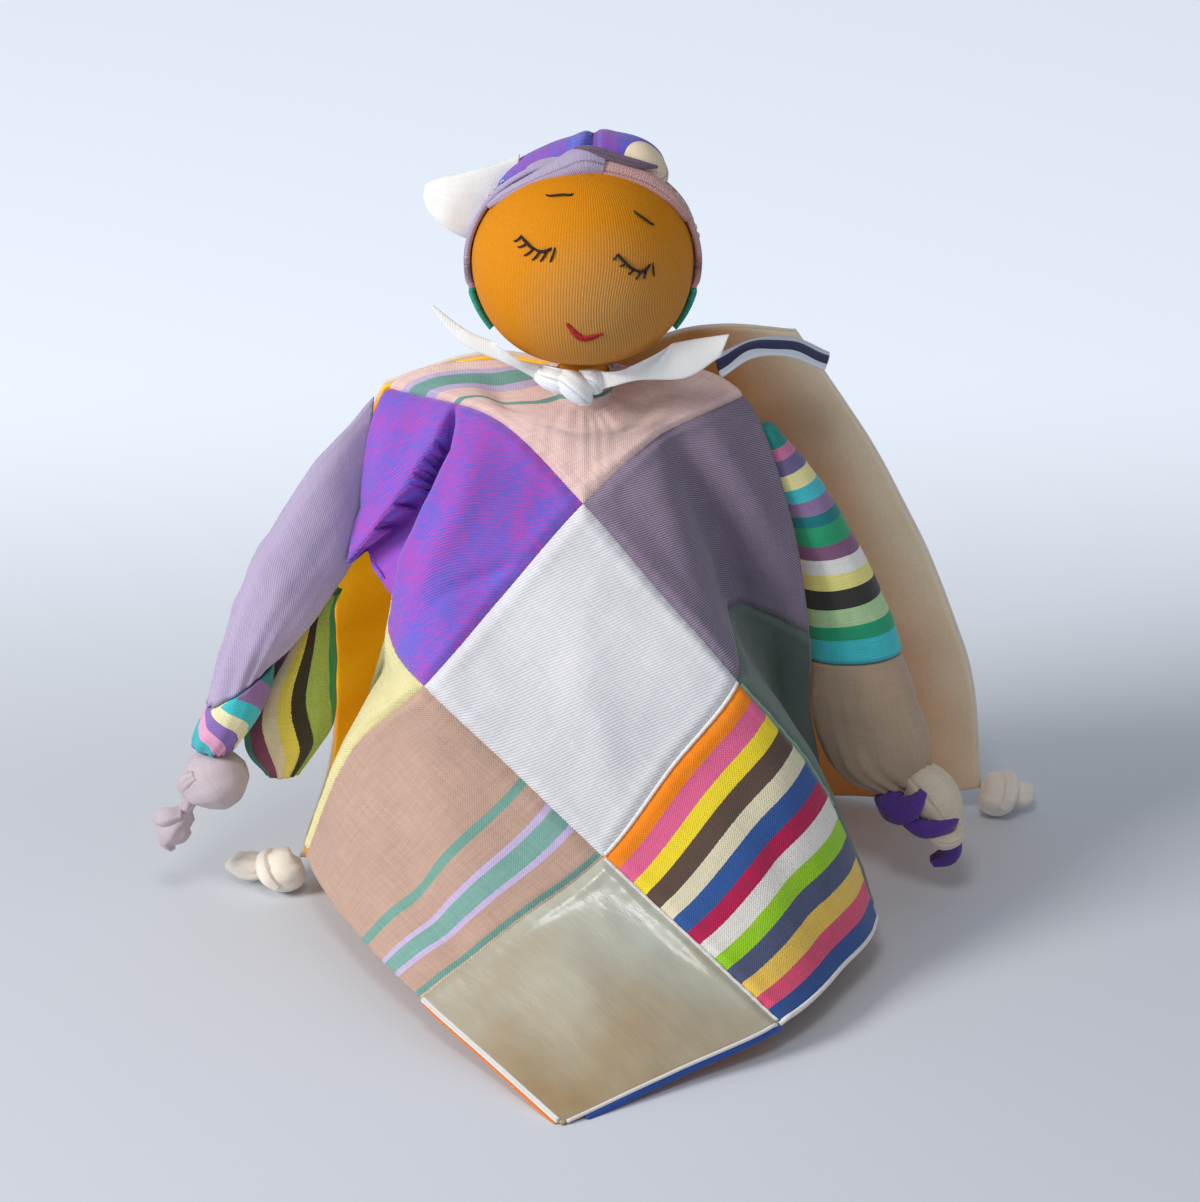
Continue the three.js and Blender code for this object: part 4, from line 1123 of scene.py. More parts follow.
def keep_off_head(piece, gap, beside=0.0):
    # Cloth that would touch the jaw, level or nodded as far as it goes, is moved forwards. beside
    # adds room away from the knot, where the cap's side pieces pass when the head turns.
    pivot = Vector((0, 0, NECK_JOINT))
    for nod in (0, LOWEST_NOD):
        undo = Matrix.Rotation(-nod, 3, "X")
        for vertex in piece.data.vertices:
            aside = abs((vertex.co - SHIFT).x / MM - RIBBON_KNOT[0])
            room = gap + beside * min(max((aside - 10) / 8, 0.0), 1.0)
            a, b, c = HALF_HEAD + room
            for _ in range(12):
                x, y, z = undo @ ((vertex.co - SHIFT) / MM - pivot) + pivot - Vector(HEAD_CENTRE)
                if abs(z) >= c or y >= 0:
                    break
                level = head_level(z, c) - (x / a) ** 2
                short = b * math.sqrt(max(level, 0.0)) + y
                if level <= 0 or short <= 0.02:
                    break
                vertex.co.y -= short * MM


def make_ribbon():
    white = grosgrain()
    for side, tail, cup, doubled, held in (
        ("right", TAIL_RIGHT, -1.2, 0.0, "draped"),
        ("left", TAIL_LEFT, -0.8, 2.2, "folded"),
    ):
        edges = np.array(tail) + RIBBON_KNOT
        piece, length, width = strip_piece(f"ribbon_{side}", edges, RIBBON_THICK, cup, doubled=doubled)
        keep_off_head(piece, 1.0, beside=2.6)
        dress(piece, white, f"ribbon_tail_{side}", f"ribbon_tail_{side}")
    turns = np.linspace(0, 2 * math.pi, 61)
    ring = [(RIBBON_RING * math.cos(a), RIBBON_RING * math.sin(a)) for a in turns]
    grid = np.array([[(x, y, z) for x, y in ring] for z in np.linspace(210.2, 206.2, 6)])
    outward = unit(grid * np.array([1, 1, 0]))
    uv = np.stack(np.meshgrid(np.linspace(0, 62, 61), np.linspace(0, 4, 6)), axis=-1)
    loop = shell("ribbon_round_neck", grid, outward, RIBBON_THICK, uv)
    dress(loop, white, "cloth", "ribbon_loop")


def lump(name, path, radii, count, depth, swirl=1.5, phase=0.0, rings=46, sides=44):
    # A soft fold of cloth along a path, swelling and gathered, deeper towards its ends.
    def gathered(t, angle):
        gather = math.sin(count * angle + phase + swirl * t)
        gather += 0.5 * math.sin((count * 2 + 1) * angle - phase)
        return 1 + depth * gather * (0.35 + 0.65 * abs(2 * t - 1))
    swell = np.maximum(spline_points(radii, rings), 0.15)
    return tube(name, spline_points(path, rings), swell, sides=sides, shape=gathered)


def lumps(name, rows, at=(0, 0, 0)):
    # The folds of one knot, as one object. Each row is a path and what else lump needs.
    return joined(name, [lump("fold", np.array(path) + at, *rest) for path, *rest in rows])


KNOT_LOBES = [
    ([(-12.5, 2.5, 3), (-9, -1, 3), (-4, -3, 2.2), (1, -2, 0)], [2.2, 4.3, 4.6, 3.4], 4, 0.07, 2.0),
    ([(-5, -1, 3.5), (-1, -4.6, 2), (3, -4.6, -1.6), (4.5, -2, -4.5)], [3.0, 4.6, 4.6, 3.0],
     4, 0.08, 1.2, 1.0),
    ([(2, -1, 3), (7, -1.5, 1.5), (9.5, -0.5, -3)], [2.6, 4.2, 2.0], 4, 0.07, 1.0, 2.0),
    ([(2, -2.5, -1), (4.5, -3.5, -4), (6.5, -3, -6)], [3.0, 3.6, 1.6], 3, 0.08, 1.0, 0.5),
]


def make_ribbon_knot():
    cloth = woven("knot_cotton", linear(250, 253, 255), mottle=0.25, pitch=0.9, relief=0.12)
    knot = lumps("ribbon_knot_cloth", KNOT_LOBES, RIBBON_KNOT)
    keep_off_head(knot, 0.5)
    dress(knot, cloth, "cloth", "ribbon_knot")


def make_label():
    piece, length, width = strip_piece("label_loop", LABEL, 1.3, 0.8, (12, 60))
    dress(piece, label_tape(), "label", "shoulder_label")


# Arms

SLEEVE_LEFT = [
    ((-74.3, 10, 195.5), (-77.8, 0, 150), 4),
    ((-92, -2, 178.5), (-84, -4, 134), 9),
    ((-112, -8, 152), (-93, -7, 121), 12),
    ((-123, -8, 128), (-104, -8, 107), 12),
    ((-136, -6, 82), (-111, -6, 101), 12),
]
CUFF_LEFT = [
    ((-136, -6, 81), (-111, -6, 100), 12),
    ((-141, -5, 70), (-114, -5, 83), 12),
    ((-142, -4, 65), (-124, -4, 67), 9),
    ((-139, -4, 62.4), (-129, -4, 62.2), 5),
]
SLEEVE_LEFT_INNER = [
    ((-100, 3, 121), (-87, 3, 123), 4),
    ((-106, 3, 104), (-90, 4, 113), 7),
    ((-118, 5, 82), (-89.5, 6, 87), 9),
    ((-124, 7, 60), (-92, 7, 65), 10),
    ((-116, 7, 47), (-104, 7, 48), 5),
]
SLEEVE_RIGHT = [
    ((67.5, 7.3, 186), (61, 7.3, 185.5), 3),
    ((77, 9.4, 174), (66, 9.4, 169.5), 6),
    ((89.5, 10.8, 155), (71.5, 10.8, 151), 9),
    ((100, 13, 134.5), (75.5, 13, 131.5), 11),
    ((109, 14, 115.5), (78, 14, 111), 12),
    ((115.5, 13, 95), (80, 14, 93), 12),
]
SLEEVE_RIGHT_END = [
    ((115.5, 13, 94), (80, 14, 92), 12),
    ((121, 12, 78), (83, 13, 72), 13),
    ((126, 10, 59.5), (89, 11, 51), 12),
    ((126.5, 9, 50), (104, 9, 40.5), 8),
    ((124, 8, 45), (113, 8, 41), 5),
]


def sleeve(name, stations, rings=60, sides=72, folds=0.9, gather=(0.0, 0.0), seed=0.0, aslant=0.0,
           lean=0.0):
    # A sleeve of cloth: an oval body between an outer and an inner edge. gather says how deep
    # the small pleats are at its two ends. Its uv starts from the inner edge on both sides;
    # aslant tilts the bands across it, and lean those along it.
    rows = spline_points([[*outer, *inner, depth] for outer, inner, depth in stations], rings)
    outer, inner, depth = rows[:, :3], rows[:, 3:6], rows[:, 6]
    middle, side = (outer + inner) / 2, (outer - inner) / 2
    length = distances(middle)
    reach = float(np.mean(np.linalg.norm(outer - inner, axis=1) / 2 + depth) / 2)
    points, uvs = [], []
    for k in range(rings):
        t = k / (rings - 1)
        pleat = gather[0] * (1 - t) ** 2 + gather[1] * t ** 2
        slide = lean * (length[k] - 40) + 12 * lean * math.sin(length[k] / 9)
        for s in range(sides):
            angle = 2 * math.pi * s / sides
            wave = pleat * math.sin(13 * angle + 2.0 * math.sin(3 * angle))
            grow = 1 + wave / max(np.linalg.norm(side[k]), 1.0)
            deep = np.array([0, depth[k] * math.sin(angle) * grow, 0])
            points.append(middle[k] + side[k] * math.cos(angle) * grow + deep)
            side_way = abs(angle - math.pi)
            uvs.append((side_way * reach + slide, length[k] + aslant * side_way))
    points = np.array(points)
    outward = unit(points - np.repeat(middle, sides, axis=0))
    height = folds * soft_noise(points, 17.0, seed) + 0.3 * soft_noise(points, 7.0, seed)
    points = list(points + outward * height[:, None])
    faces = close_tube(points, uvs, sides, [(middle[0], uvs[0]), (middle[-1], uvs[-sides])])
    return finish_mesh(name, points, faces, uvs)


CUFF_STRIPES = stripes_of(
    (0, 30, 134, 140), (13, 150, 112, 164), (23, 64, 200, 208), (30, 244, 236, 190),
    (36, 142, 112, 188), (42.5, 238, 170, 206), (50, 54, 190, 200), (64, 142, 112, 188))
INNER_STRIPES = stripes_of(
    (0, 40, 150, 80), (5, 168, 186, 84), (11.5, 60, 50, 30), (15, 240, 216, 84), (18.5, 232, 212, 168),
    (22.5, 140, 70, 92), (27, 30, 150, 108), (31, 20, 104, 108), (42, 20, 104, 108))
ARM_STRIPES = stripes_of(
    (0, 34, 148, 138), (9, 220, 126, 168), (14, 122, 110, 156), (20, 250, 240, 170),
    (26, 74, 204, 214), (31.5, 154, 126, 170), (37.5, 28, 134, 140), (42, 44, 172, 118),
    (50, 146, 100, 136), (56, 250, 248, 244), (62, 252, 242, 146), (68.5, 60, 58, 56),
    (76, 190, 226, 170), (83, 40, 170, 124), (89, 70, 206, 214), (96, 70, 206, 214))

# The body before each arm, and where its cloth starts and ends.
ARM_ROOTS = {
    "left": ("cloth", (-79, -3, 170), (-108, -8, 140)),
    "right": ("cloth", (66, 8, 182), (84, 11, 150)),
}


def make_arms():
    mauve = woven("arm_mauve", linear(174, 158, 192), linear(196, 182, 212), weave="twill", mottle=0.4,
                  pitch=0.85, relief=0.1)
    cuff = woven("cuff_stripes", CREAM, stripes=CUFF_STRIPES, across="y", mottle=0.3)
    inner = woven("inner_stripes", CREAM, stripes=INNER_STRIPES, mottle=0.3)
    bands = woven("arm_stripes", CREAM, stripes=ARM_STRIPES, across="y", mottle=0.3)
    # The linen's colours are darkened and browned: painted shade and bounce light on the right arm, over
    # the linen's own beige.
    linen = woven("arm_linen", linear(184, 156, 130), linear(200, 176, 152), mottle=0.35, pitch=0.7,
                  relief=0.1)
    for name, side, node, stations, cloth, slot, fill, more in (
        ("arm_left_sleeve", "left", "sleeve_left_mauve", SLEEVE_LEFT, mauve, "mauve", 0.3,
         {"folds": 1.3, "gather": (0.3, 0.6), "seed": 1.0}),
        ("arm_left_cuff", "left", "cuff_left_striped", CUFF_LEFT, cuff, "teal", 0.4,
         {"rings": 34, "folds": 0.6, "gather": (0.2, 1.0), "seed": 2.0, "aslant": 14.0}),
        ("arm_left_inner", "left", "sleeve_left_inner", SLEEVE_LEFT_INNER, inner, "yellow", 0.3,
         {"folds": 1.2, "gather": (0.2, 0.5), "seed": 3.0, "lean": 0.1}),
        ("arm_right_sleeve", "right", "sleeve_right_striped", SLEEVE_RIGHT, bands, "stripes", 0.4,
         {"folds": 0.8, "seed": 4.0}),
        ("arm_right_end", "right", "sleeve_right_linen", SLEEVE_RIGHT_END, linen, "linen", 0.4,
         {"folds": 1.4, "gather": (0.1, 1.4), "seed": 5.0}),
    ):
        piece = sleeve(name, stations, **more)
        dress(piece, cloth, "arm_" + side, node, ARM_ROOTS[side])


# Hands and corner knots: a gathered ball first, then the folds round it and its tail

HAND_LEFT = [
    ([(-122.5, -5, 55), (-127, -5, 53.5), (-134, -5, 51), (-140, -5, 47.5), (-144, -4, 44)],
     [3.5, 9.5, 11.6, 8.6, 3.4], 7, 0.05, 1.2),
    ([(-140, -12, 56), (-143.5, -9, 52), (-143.5, -4, 46), (-139, 2, 42)], [2.0, 3.4, 3.4, 2.0],
     4, 0.08, 2.0),
    ([(-142, -4, 45), (-144.5, -4, 39), (-146, -4, 34)], [4.0, 2.6, 3.2], 6, 0.1, 1.0),
    ([(-142.5, -4, 36), (-147, -4.5, 34), (-150, -4, 29.5), (-152, -3, 25), (-150.5, -3, 21)],
     [1.8, 5.2, 6.0, 3.6, 1.2], 4, 0.12, 1.0, 0.6),
    ([(-146, -8, 38), (-152, -7, 36.5), (-156, -3, 33)], [1.6, 3.4, 1.4], 3, 0.1, 1.0),
]
HAND_RIGHT_BALL = [
    ([(119, 8, 47), (123, 6, 44.5), (128.5, 4, 38.5), (133, 3, 31), (134, 4, 25)],
     [4.0, 8.0, 9.2, 6.6, 2.6], 6, 0.06, 1.4),
    ([(126, -4, 27.5), (131, -5.5, 25.5), (136, -3, 26), (138, 1, 29)], [1.8, 3.0, 3.0, 1.6], 4, 0.08),
]
HAND_RIGHT_WRAP = [
    ([(108, 8, 37), (112, 4, 36.5), (117, 0, 36), (121, -3, 40), (124, -3, 45)],
     [2.2, 5.4, 5.6, 3.6, 1.6], 5, 0.1, 1.6),
    ([(118, -1, 32), (124, -4, 30), (131, -4, 31), (137, 1, 33)], [2.6, 3.4, 3.2, 2.0], 4, 0.08),
    ([(133, -1, 28), (135, 1, 22), (134, 3, 16), (128, 4, 12.5)], [2.6, 3.6, 3.8, 2.0], 4, 0.1),
]
FOOT_LEFT = [
    ([(-103.5, 6, 10), (-106.5, 5, 9.2), (-111, 5, 8.8), (-115.5, 6, 8.2), (-118, 8, 7.5)],
     [3.0, 7.2, 8.2, 6.2, 2.6], 6, 0.07, 1.6),
    ([(-115, 8, 8), (-121, 10, 7.5), (-127, 12, 7.0), (-132, 13, 6.0)], [2.4, 5.0, 4.6, 1.2], 4, 0.12),
    ([(-112, -2.5, 5), (-116, -1, 9), (-117.5, 4, 13), (-115, 9, 14.5)], [1.6, 3.0, 3.0, 1.6], 4, 0.08),
]
FOOT_RIGHT = [
    ([(149, 66, 9.5), (151.5, 66, 9), (156, 67, 8.5), (160.5, 67.5, 8), (163, 68, 7.5)],
     [3.0, 7.0, 8.2, 6.4, 2.6], 6, 0.07, 1.6),
    ([(160, 68, 7.5), (164, 69, 7.2), (167.5, 70.5, 6.6), (169.5, 71, 5.6)], [2.4, 5.0, 4.4, 1.4],
     4, 0.12),
    ([(157, 59, 6), (160, 61, 11), (160, 67, 15), (158, 73, 13)], [1.6, 3.0, 3.0, 1.6], 4, 0.08),
]
GREEN_BIT = ((-121.5, -11.5, 41.5), 5.2, linear(60, 150, 100))


def make_knots():
    fine = {"mottle": 0.35, "pitch": 0.8, "relief": 0.12}
    mauve = woven("hand_mauve", linear(196, 180, 188), linear(214, 200, 208), spot=GREEN_BIT, **fine)
    cream = woven("hand_cream", linear(226, 208, 184), linear(236, 222, 200), **fine)
    purple = woven("hand_purple", linear(84, 52, 140), linear(112, 72, 172), **fine)
    brushed_cream = flannel("knot_flannel", linear(252, 244, 232), linear(242, 224, 204), 0.8)
    for name, rows, cloth, body, node, slot, fill in (
        ("hand_left_knot", HAND_LEFT, mauve, "arm_left", "hand_left", "mauve", 0.75),
        ("hand_right_ball", HAND_RIGHT_BALL, cream, "arm_right", "hand_right_cream", "cream", 0.75),
        ("hand_right_wrap", HAND_RIGHT_WRAP, purple, "arm_right", "hand_right_purple", "purple", 0.6),
        ("foot_left_knot", FOOT_LEFT, brushed_cream, "cloth", "foot_knot_left", "cream", 0.75),
        ("foot_right_knot", FOOT_RIGHT, brushed_cream, "cloth", "foot_knot_right", "cream", 0.75),
    ):
        knot = lumps(name, rows)
        keep_above_floor(knot)
        dress(knot, cloth, body, node)


# Cap

HOOD_LIFT = 2.5
HOOD_THICK = 2.0
# The hem's place in front, and the nape's hem and the side seam below the head's middle.
HOOD_FRONT = -3
HOOD_NAPE = -26
HOOD_SIDE = -9.5
HOOD_BACK_SEAM = HEAD_DEPTH * 0.2
HOOD_COLUMNS = 150
HOOD_ROWS = 130


def hood_surface():
    # The cap's lower part as one sheet round the head, from the hem over the top to the nape.
    a, b, c = HALF_HEAD + HOOD_LIFT
    points, uvs = [], []
    for swing in np.linspace(-math.radians(89.6), math.radians(89.6), HOOD_COLUMNS):
        round_y, round_z = b * math.cos(swing), c * math.cos(swing)
        hem = math.acos(max(-1.0, HOOD_FRONT / round_y))
        low = -math.asin(-HOOD_NAPE / round_z) if round_z > -HOOD_NAPE else -hem
        for turn in np.linspace(hem, low, HOOD_ROWS):
            x, y, z = a * math.sin(swing), round_y * math.cos(turn), round_z * math.sin(turn)
            fuller = (1 - (z / c) ** 2) ** ((JAW_FULLNESS - 1) / 2) if -c < z < 0 else 1.0
            points.append((x * fuller, max(y * fuller, HOOD_FRONT), HEAD_MIDDLE + z))
            uvs.append((swing * a + 70, (hem - turn) * c))
    points = np.array(points)
    outward = unit((points - HEAD_CENTRE) / (HALF_HEAD + HOOD_LIFT) ** 2)
    x, y, z = points[:, 0], points[:, 1], points[:, 2] - HEAD_MIDDLE
    seam = np.minimum(np.abs(y - HOOD_BACK_SEAM), np.abs(z - HOOD_SIDE))
    seam = np.minimum(seam, np.where(y < HOOD_BACK_SEAM, np.abs(x), 99))
    height = -0.7 * np.exp(-(seam / 1.3) ** 2)
    front = y - HOOD_FRONT
    height += 0.5 * np.exp(-((front - 1.2) / 1.6) ** 2) - 0.45 * np.exp(-((front - 4.4) / 0.9) ** 2)
    height += 0.9 * soft_noise(points, 16.0, 4.0) * np.clip(front / 8, 0, 1)
    creases = np.clip((y - 18) / 20, 0, 1) * np.clip((6 - z) / 12, 0, 1)
    height += 1.3 * np.sin(0.5 * x + 2.0 * soft_noise(points, 20.0, 9.0)) * creases
    return points + outward * height[:, None], np.array(uvs)


def solid_sheet(piece, thick):
    # Gives a single sheet its thickness, inwards.
    modifier = piece.modifiers.new("thickness", "SOLIDIFY")
    modifier.thickness = thick * MM
    modifier.offset = -1
    modifier.use_even_offset = False
    graph = bpy.context.evaluated_depsgraph_get()
    mesh = bpy.data.meshes.new_from_object(piece.evaluated_get(graph))
    piece.modifiers.clear()
    piece.data = mesh
    shade_smooth(mesh)


def cut_away(piece, at, direction):
    # Removes what lies past a plane, at a place in the doll's millimetres.
    edit_mesh(piece.data, lambda build: bmesh.ops.bisect_plane(
        build, geom=build.verts[:] + build.edges[:] + build.faces[:], dist=1e-6,
        plane_co=place(*at), plane_no=direction, clear_outer=True,
    ))


def face_outwards(build):
    middle = place(0, 0, HEAD_MIDDLE)
    inwards = sum((f.calc_center_median() - middle).dot(f.normal) < 0 for f in build.faces)
    if inwards > len(build.faces) / 2:
        bmesh.ops.reverse_faces(build, faces=build.faces)


# What of the hood lies past each of its seams, as a place and a direction.
PAST_MIDDLE = ((0, 0, 0), (1, 0, 0))
BEFORE_MIDDLE = ((0, 0, 0), (-1, 0, 0))
UNDER_SEAM = ((0, 0, HEAD_MIDDLE + HOOD_SIDE), (0, 0, -1))
OVER_SEAM = ((0, 0, HEAD_MIDDLE + HOOD_SIDE), (0, 0, 1))
BEHIND_SEAM = ((0, HOOD_BACK_SEAM, 0), (0, 1, 0))
AHEAD_OF_SEAM = ((0, HOOD_BACK_SEAM, 0), (0, -1, 0))


def hood_piece(name, surface, cuts, cloth, node, roll=None):
    # A part of the hood without what the cuts take off, and the roll of cloth over its hem.
    points, uvs = surface
    piece = finish_mesh(name, points, grid_faces(HOOD_COLUMNS, HOOD_ROWS), uvs)
    edit_mesh(piece.data, face_outwards)
    for at, direction in cuts:
        cut_away(piece, at, direction)
    solid_sheet(piece, HOOD_THICK)
    if roll:
        piece = joined(name, [piece, roll])
    dress(piece, cloth, "head", node)


PINK_STRIPES = stripes_of(
    (0, 206, 160, 158), (74, 212, 176, 176), (80, 186, 122, 120), (84, 216, 184, 186),
    (90, 190, 130, 128), (95, 220, 190, 192), (101, 182, 116, 114), (107, 208, 164, 162),
    (130, 200, 150, 148))


# The rolls of cloth along the hem, and the small fold over their middle.
HOOD_MAUVE_ROLL = [
    (-33, -3, 273), (-27, -3.6, 277.5), (-17, -4.4, 283.2), (-8, -3.6, 286.4), (0, -2.6, 289),
    (7, -2.2, 287.6)]
HOOD_FOLD = [(-3, -2, 293.9), (3, -3.4, 294.2), (12, -3.6, 291.2), (20, -3, 288.7), (26, -1.5, 287.2)]
HOOD_PINK_ROLL = [
    (2, -2.4, 286.8), (9, -2.4, 286.2), (17, -2.4, 284), (24, -2.4, 280.8), (31.5, -2.6, 275),
    (36.5, -2.6, 268)]


def make_hood():
    surface = hood_surface()
    fine = {"mottle": 0.4, "pitch": 0.9}
    mauve = woven("hood_mauve_cloth", linear(172, 158, 192), linear(202, 190, 214), **fine)
    # The fold's darker mauve is painted shade of its shadowed underside.
    shade = woven("hood_fold_painted_shade", linear(104, 84, 104), linear(134, 114, 136), **fine)
    pink = woven("hood_pink_cloth", linear(190, 130, 138), stripes=PINK_STRIPES, mottle=0.4)
    teal = woven("hood_teal_cloth", linear(40, 160, 134), linear(70, 190, 170), mottle=0.4)
    linen = woven("hood_linen_cloth", linear(224, 208, 186), linear(236, 224, 206), mottle=0.35)
    roll = lump("roll", HOOD_MAUVE_ROLL, [0.8, 1.9, 2.6, 4.6, 5.8, 4.8], 2, 0.02, 0.4, rings=80)
    hood_piece("hood_mauve_piece", surface, [PAST_MIDDLE, UNDER_SEAM, BEHIND_SEAM], mauve, "hood_mauve",
               roll)
    fold = lump("hood_fold", HOOD_FOLD, [0.8, 1.6, 1.7, 1.5, 0.6], 1, 0.05, 0.5, rings=60, sides=24)
    dress(fold, shade, "head", None)
    roll = lump("roll", HOOD_PINK_ROLL, [4.2, 4.7, 4.2, 3.6, 2.4, 1.2], 2, 0.03, 0.5, rings=60, sides=40)
    hood_piece("hood_pink_piece", surface, [BEFORE_MIDDLE, UNDER_SEAM, BEHIND_SEAM], pink, "hood_pink",
               roll)
    for short, side, half in (("l", "left", PAST_MIDDLE), ("r", "right", BEFORE_MIDDLE)):
        hood_piece(f"hood_teal_{short}", surface, [half, OVER_SEAM, BEHIND_SEAM], teal,
                   f"hood_teal_{side}")
    hood_piece("hood_back_piece", surface, [AHEAD_OF_SEAM], linen, "hood_back")


def folded_blob(name, middle, size, folds, uv_start, rows=90, columns=120, blunt=1.0):
    # A soft hollow of cloth over the hood: a ball, creased by folds(shape, ball) and laid on it.
    ball = []
    for r in range(rows + 1):
        latitude = -math.pi / 2 + math.pi * r / rows
        flat, up = math.cos(latitude), math.sin(latitude)
        for c in range(columns):
            longitude = 2 * math.pi * c / columns
            ball.append((flat * math.cos(longitude), flat * math.sin(longitude), up))
    ball = np.array(ball)
    round_ball = np.sign(ball) * np.abs(ball) ** np.array([blunt, 1.0, 1.0])
    shape = folds(round_ball * np.array(size) + np.array(middle), ball)
    hood = HALF_HEAD + HOOD_LIFT - 1.0
    inside = (shape - HEAD_CENTRE) / hood
    reach = np.linalg.norm(inside, axis=1)
    lift = np.maximum(1.0, 1.0 / np.maximum(reach, 1e-6))
    shape = inside * lift[:, None] * hood + HEAD_CENTRE
    uvs = [(p[0] - uv_start, math.atan2(q[2], q[1]) * size[2]) for p, q in zip(shape, ball)]
    piece = finish_mesh(name, shape, grid_faces(rows + 1, columns, closed=True), uvs)
    edit_mesh(piece.data, lambda build: bmesh.ops.remove_doubles(build, verts=build.verts, dist=1e-6))
    return piece


CROWN_MIDDLE = (-1, 12.5, 282)


def crown_folds(shape, ball):
    # The crown leans back from the roll, tapers to the left and is pinched near its right end.
    x, y, z = shape[:, 0], shape[:, 1], shape[:, 2]
    left = np.clip(-(x - 6) / 36, 0, 1)
    y = y - 6.0 * left ** 1.2
    z = CROWN_MIDDLE[2] + (z - CROWN_MIDDLE[2]) * (1 - 0.42 * left ** 1.2) - 5.0 * left ** 1.4
    top = np.clip(ball[:, 2] + 0.5, 0, 1)
    ahead = np.clip(-ball[:, 1] + 0.5, 0, 1)
    pinch = x - 3.2 - 0.1 * (y - 10)
    z = z - top * (1.0 + 0.9 * ahead) * np.exp(-(pinch / 1.3) ** 2)
    y = y + 3.2 * ahead * np.exp(-(pinch / 1.5) ** 2) - 1.0 * ahead * np.exp(-((pinch + 3.4) / 2.4) ** 2)
    z = z + top * (0.9 * np.exp(-((pinch + 3.6) / 2.6) ** 2) + 0.7 * np.exp(-((pinch - 4.0) / 3.0) ** 2))
    moved = np.stack([x, np.maximum(y, -1.0 + 3.0 * left), z], axis=1)
    return moved + ball * (0.5 * soft_noise(moved, 12.0, 6.0) * top)[:, None]


def bump_folds(shape, ball):
    # The bump is drawn up to the left and runs smoothly down to the right.
    x, y, z = shape[:, 0], shape[:, 1], shape[:, 2]
    rise = np.clip(ball[:, 2], 0, 1)
    moved = np.stack([x - 2.0 * rise, y, z], axis=1)
    return moved + ball * (0.35 * soft_noise(moved, 10.0, 3.0))[:, None]


CAP_TIP = [
    ((-22, 10, 287), (-28, 9, 262), 4.6),
    ((-33, 6, 284.6), (-37, 4, 257.5), 4.4),
    ((-43, 4, 282.4), (-46.5, 1, 262.6), 3.6),
    ((-51, 4, 280.6), (-53.4, 2, 268.6), 2.6),
    ((-54.8, 4, 278.8), (-56, 3, 274), 1.3),
]


BLUE, CROWN_VIOLET, PLUM, DUSK = (
    linear(50, 118, 222), linear(122, 94, 206), linear(150, 86, 198), linear(66, 92, 206))
CROWN_STRIPES = stripes_of(
    (0, BLUE), (4.5, CROWN_VIOLET), (8, PLUM), (19, CROWN_VIOLET), (25.5, BLUE), (34, 92, 70, 150),
    (36, PLUM), (43, DUSK), (60, DUSK))


def make_cap_top():
    crown = woven("crown_cloth", CROWN_VIOLET, linear(160, 96, 204), stripes=CROWN_STRIPES, mottle=0.6,
                  fleck=BLUE, pitch=0.9)
    peach = woven("crown_peach_cloth", linear(246, 222, 190), linear(250, 232, 206), mottle=0.3,
                  pitch=0.9)
    cream = woven("cap_tip_cloth", linear(248, 246, 244), linear(252, 251, 250), mottle=0.2, pitch=0.8,
                  relief=0.06)
    piece = folded_blob("crown_violet_piece", CROWN_MIDDLE, (30, 13.5, 13), crown_folds, -31, blunt=0.72)
    dress(piece, crown, "head", "crown_violet")
    piece = folded_blob("crown_peach_piece", (20.3, 8, 281.5), (9.6, 10.5, 11.2), bump_folds, 0, 60, 80)
    dress(piece, peach, "head", "crown_peach")
    piece = sleeve("cap_tip_piece", CAP_TIP, sides=64, folds=0.6, seed=7.0)
    dress(piece, cream, "cap_tip", "cap_tip", ("head", (-25, 4, 278), (-34, 4, 276)))


# Where the hem's stitches show, in degrees round the face from its right side.
STITCHED = ((12, 48), (132, 168))


def make_hood_stitches():
    # The small white hand stitches along the hem.
    a, b, c = HALF_HEAD + HOOD_LIFT + 0.15
    depth = HOOD_FRONT + 4.4
    narrow = math.sqrt(1 - (depth / b) ** 2)
    parts = []
    for k in range(46):
        degrees = -22 + 224 * k / 45
        if not any(start < degrees < end for start, end in STITCHED):
            continue
        path = []
        for step in np.linspace(-1, 1, 7):
            turn = math.radians(degrees) + step * 0.022
            rise = 0.35 * (1 - step * step)
            path.append(((a + rise) * narrow * math.cos(turn), depth + 0.5 * step,
                         HEAD_MIDDLE + (c + rise) * narrow * math.sin(turn)))
        parts.append(tube("hem_stitch", path, [0.22] * 7, sides=6))
    white = thread_material("hem_thread", linear(236, 232, 226), 0.3)
    dress(joined("hem_stitches", parts), white, "head", None)


# Stage: pale floor, soft window light from the left and a weak fill

FLOOR_REACH = 6.0
FLOOR_DROP = 0.0002


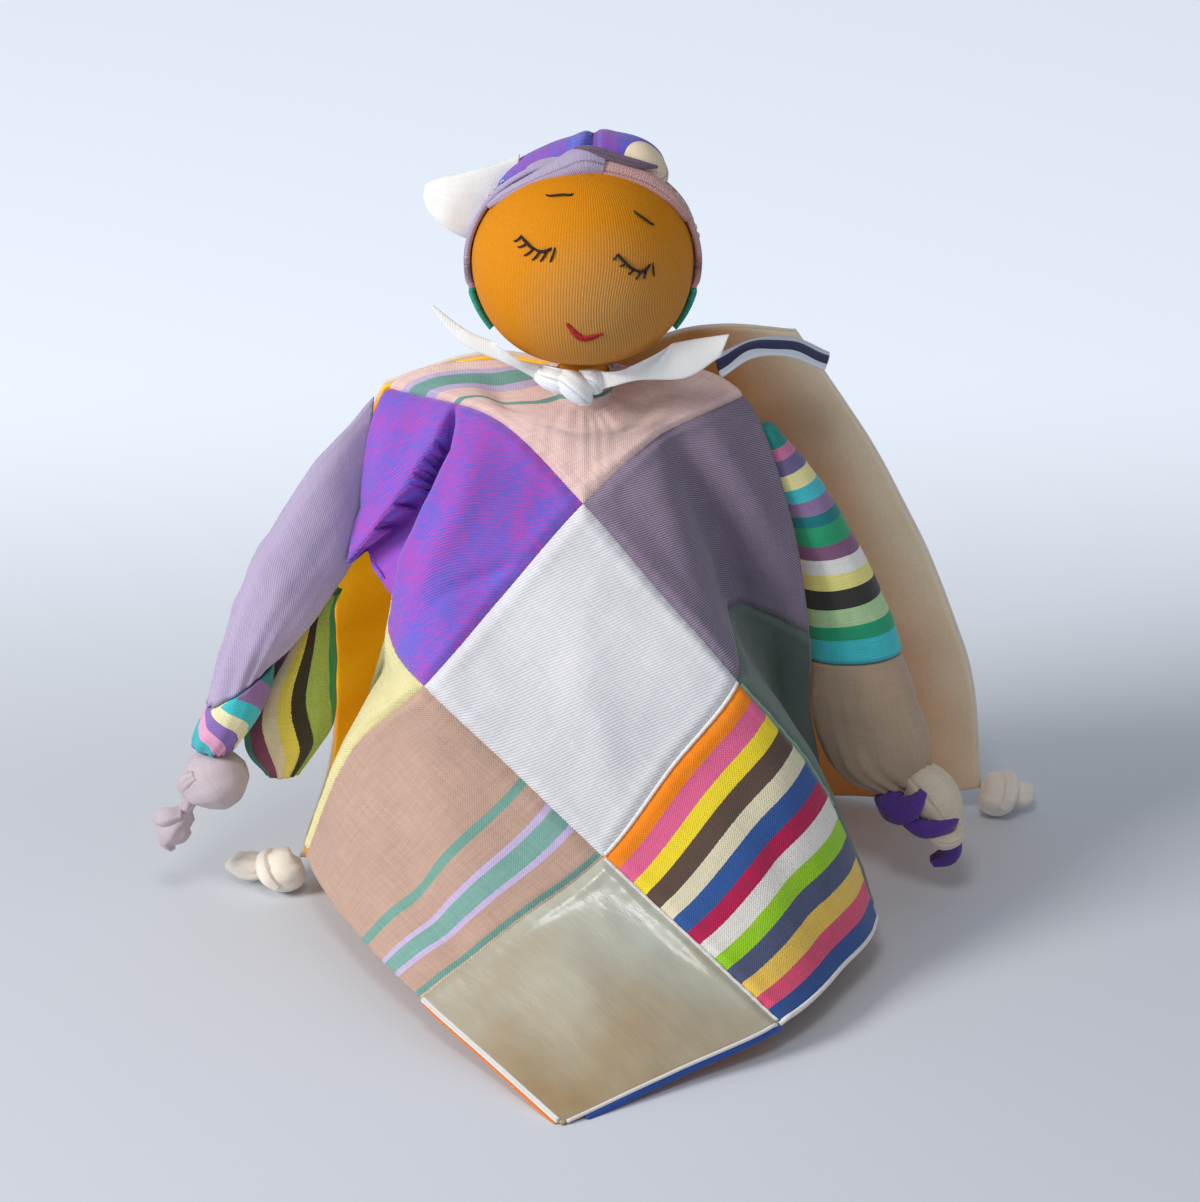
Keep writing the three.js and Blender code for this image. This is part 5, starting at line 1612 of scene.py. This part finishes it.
def make_stage():
    corners = [(x * FLOOR_REACH, y * FLOOR_REACH, 0) for x, y in ((-1, -1), (1, -1), (1, 1), (-1, 1))]
    floor = bpy.data.meshes.new("floor")
    floor.from_pydata(corners, [], [(0, 1, 2, 3)])
    n = Nodes("pale_floor", with_uv=False)
    # Far off the floor runs into pale haze, as a bright room would be.
    far = {"Value": n.split(n.place())[1], "From Min": 0.1, "From Max": 0.55, "To Max": 0.5}
    haze = n.node("MapRange", far, interpolation_type="SMOOTHSTEP")
    floor.materials.append(n.done(linear(214, 218, 226), 0.8, 0.5, {
        "Emission Color": linear(226, 236, 250), "Emission Strength": haze}))
    stage = add_object("floor", floor)
    stage.location.z = -FLOOR_DROP


def add_light(name, spot, aim, size, power, colour):
    lamp = bpy.data.lights.new(name, "AREA")
    lamp.shape = "DISK"
    lamp.size = size
    lamp.energy = power
    lamp.color = colour
    obj = add_object(name, lamp)
    obj.location = spot
    obj.rotation_euler = (Vector(aim) - Vector(spot)).to_track_quat("-Z", "Y").to_euler()


def make_lights():
    aim = place(0, 0, 130)
    add_light("window", (-1.6, -0.8, 1.15), aim, 0.8, 33.0, (1.0, 0.975, 0.94))
    add_light("skylight", (-0.11, -1.0, 1.7), aim, 0.46, 6.0, (0.97, 0.99, 1.0))
    world = bpy.data.worlds.new("room")
    world.use_nodes = True
    background = world.node_tree.nodes["Background"]
    background.inputs[0].default_value = (0.86, 0.92, 1.0, 1.0)
    background.inputs[1].default_value = 0.34
    bpy.context.scene.world = world
    bpy.context.scene.view_settings.view_transform = "Standard"
    bpy.context.scene.view_settings.look = "None"


def make_camera():
    data = bpy.data.cameras.new("camera")
    data.sensor_width = SENSOR
    data.lens = SENSOR * FOCAL_PIXELS / FRAME_WIDTH
    data.clip_end = 50
    camera = add_object("camera", data)
    away = Vector((0, -math.cos(VIEW_RISE), math.sin(VIEW_RISE))) * VIEW_DISTANCE * MM
    camera.location = place(*VIEW_TARGET) + away
    camera.rotation_euler = (-away).to_track_quat("-Z", "Y").to_euler()
    bpy.context.scene.camera = camera


make_camera()
make_front()
make_trims()
make_back()
make_head()
make_face()
make_neck()
make_ribbon()
make_ribbon_knot()
make_label()
make_arms()
make_knots()
make_hood()
make_cap_top()
make_hood_stitches()
make_stage()
make_lights()

bpy.context.view_layer.update()
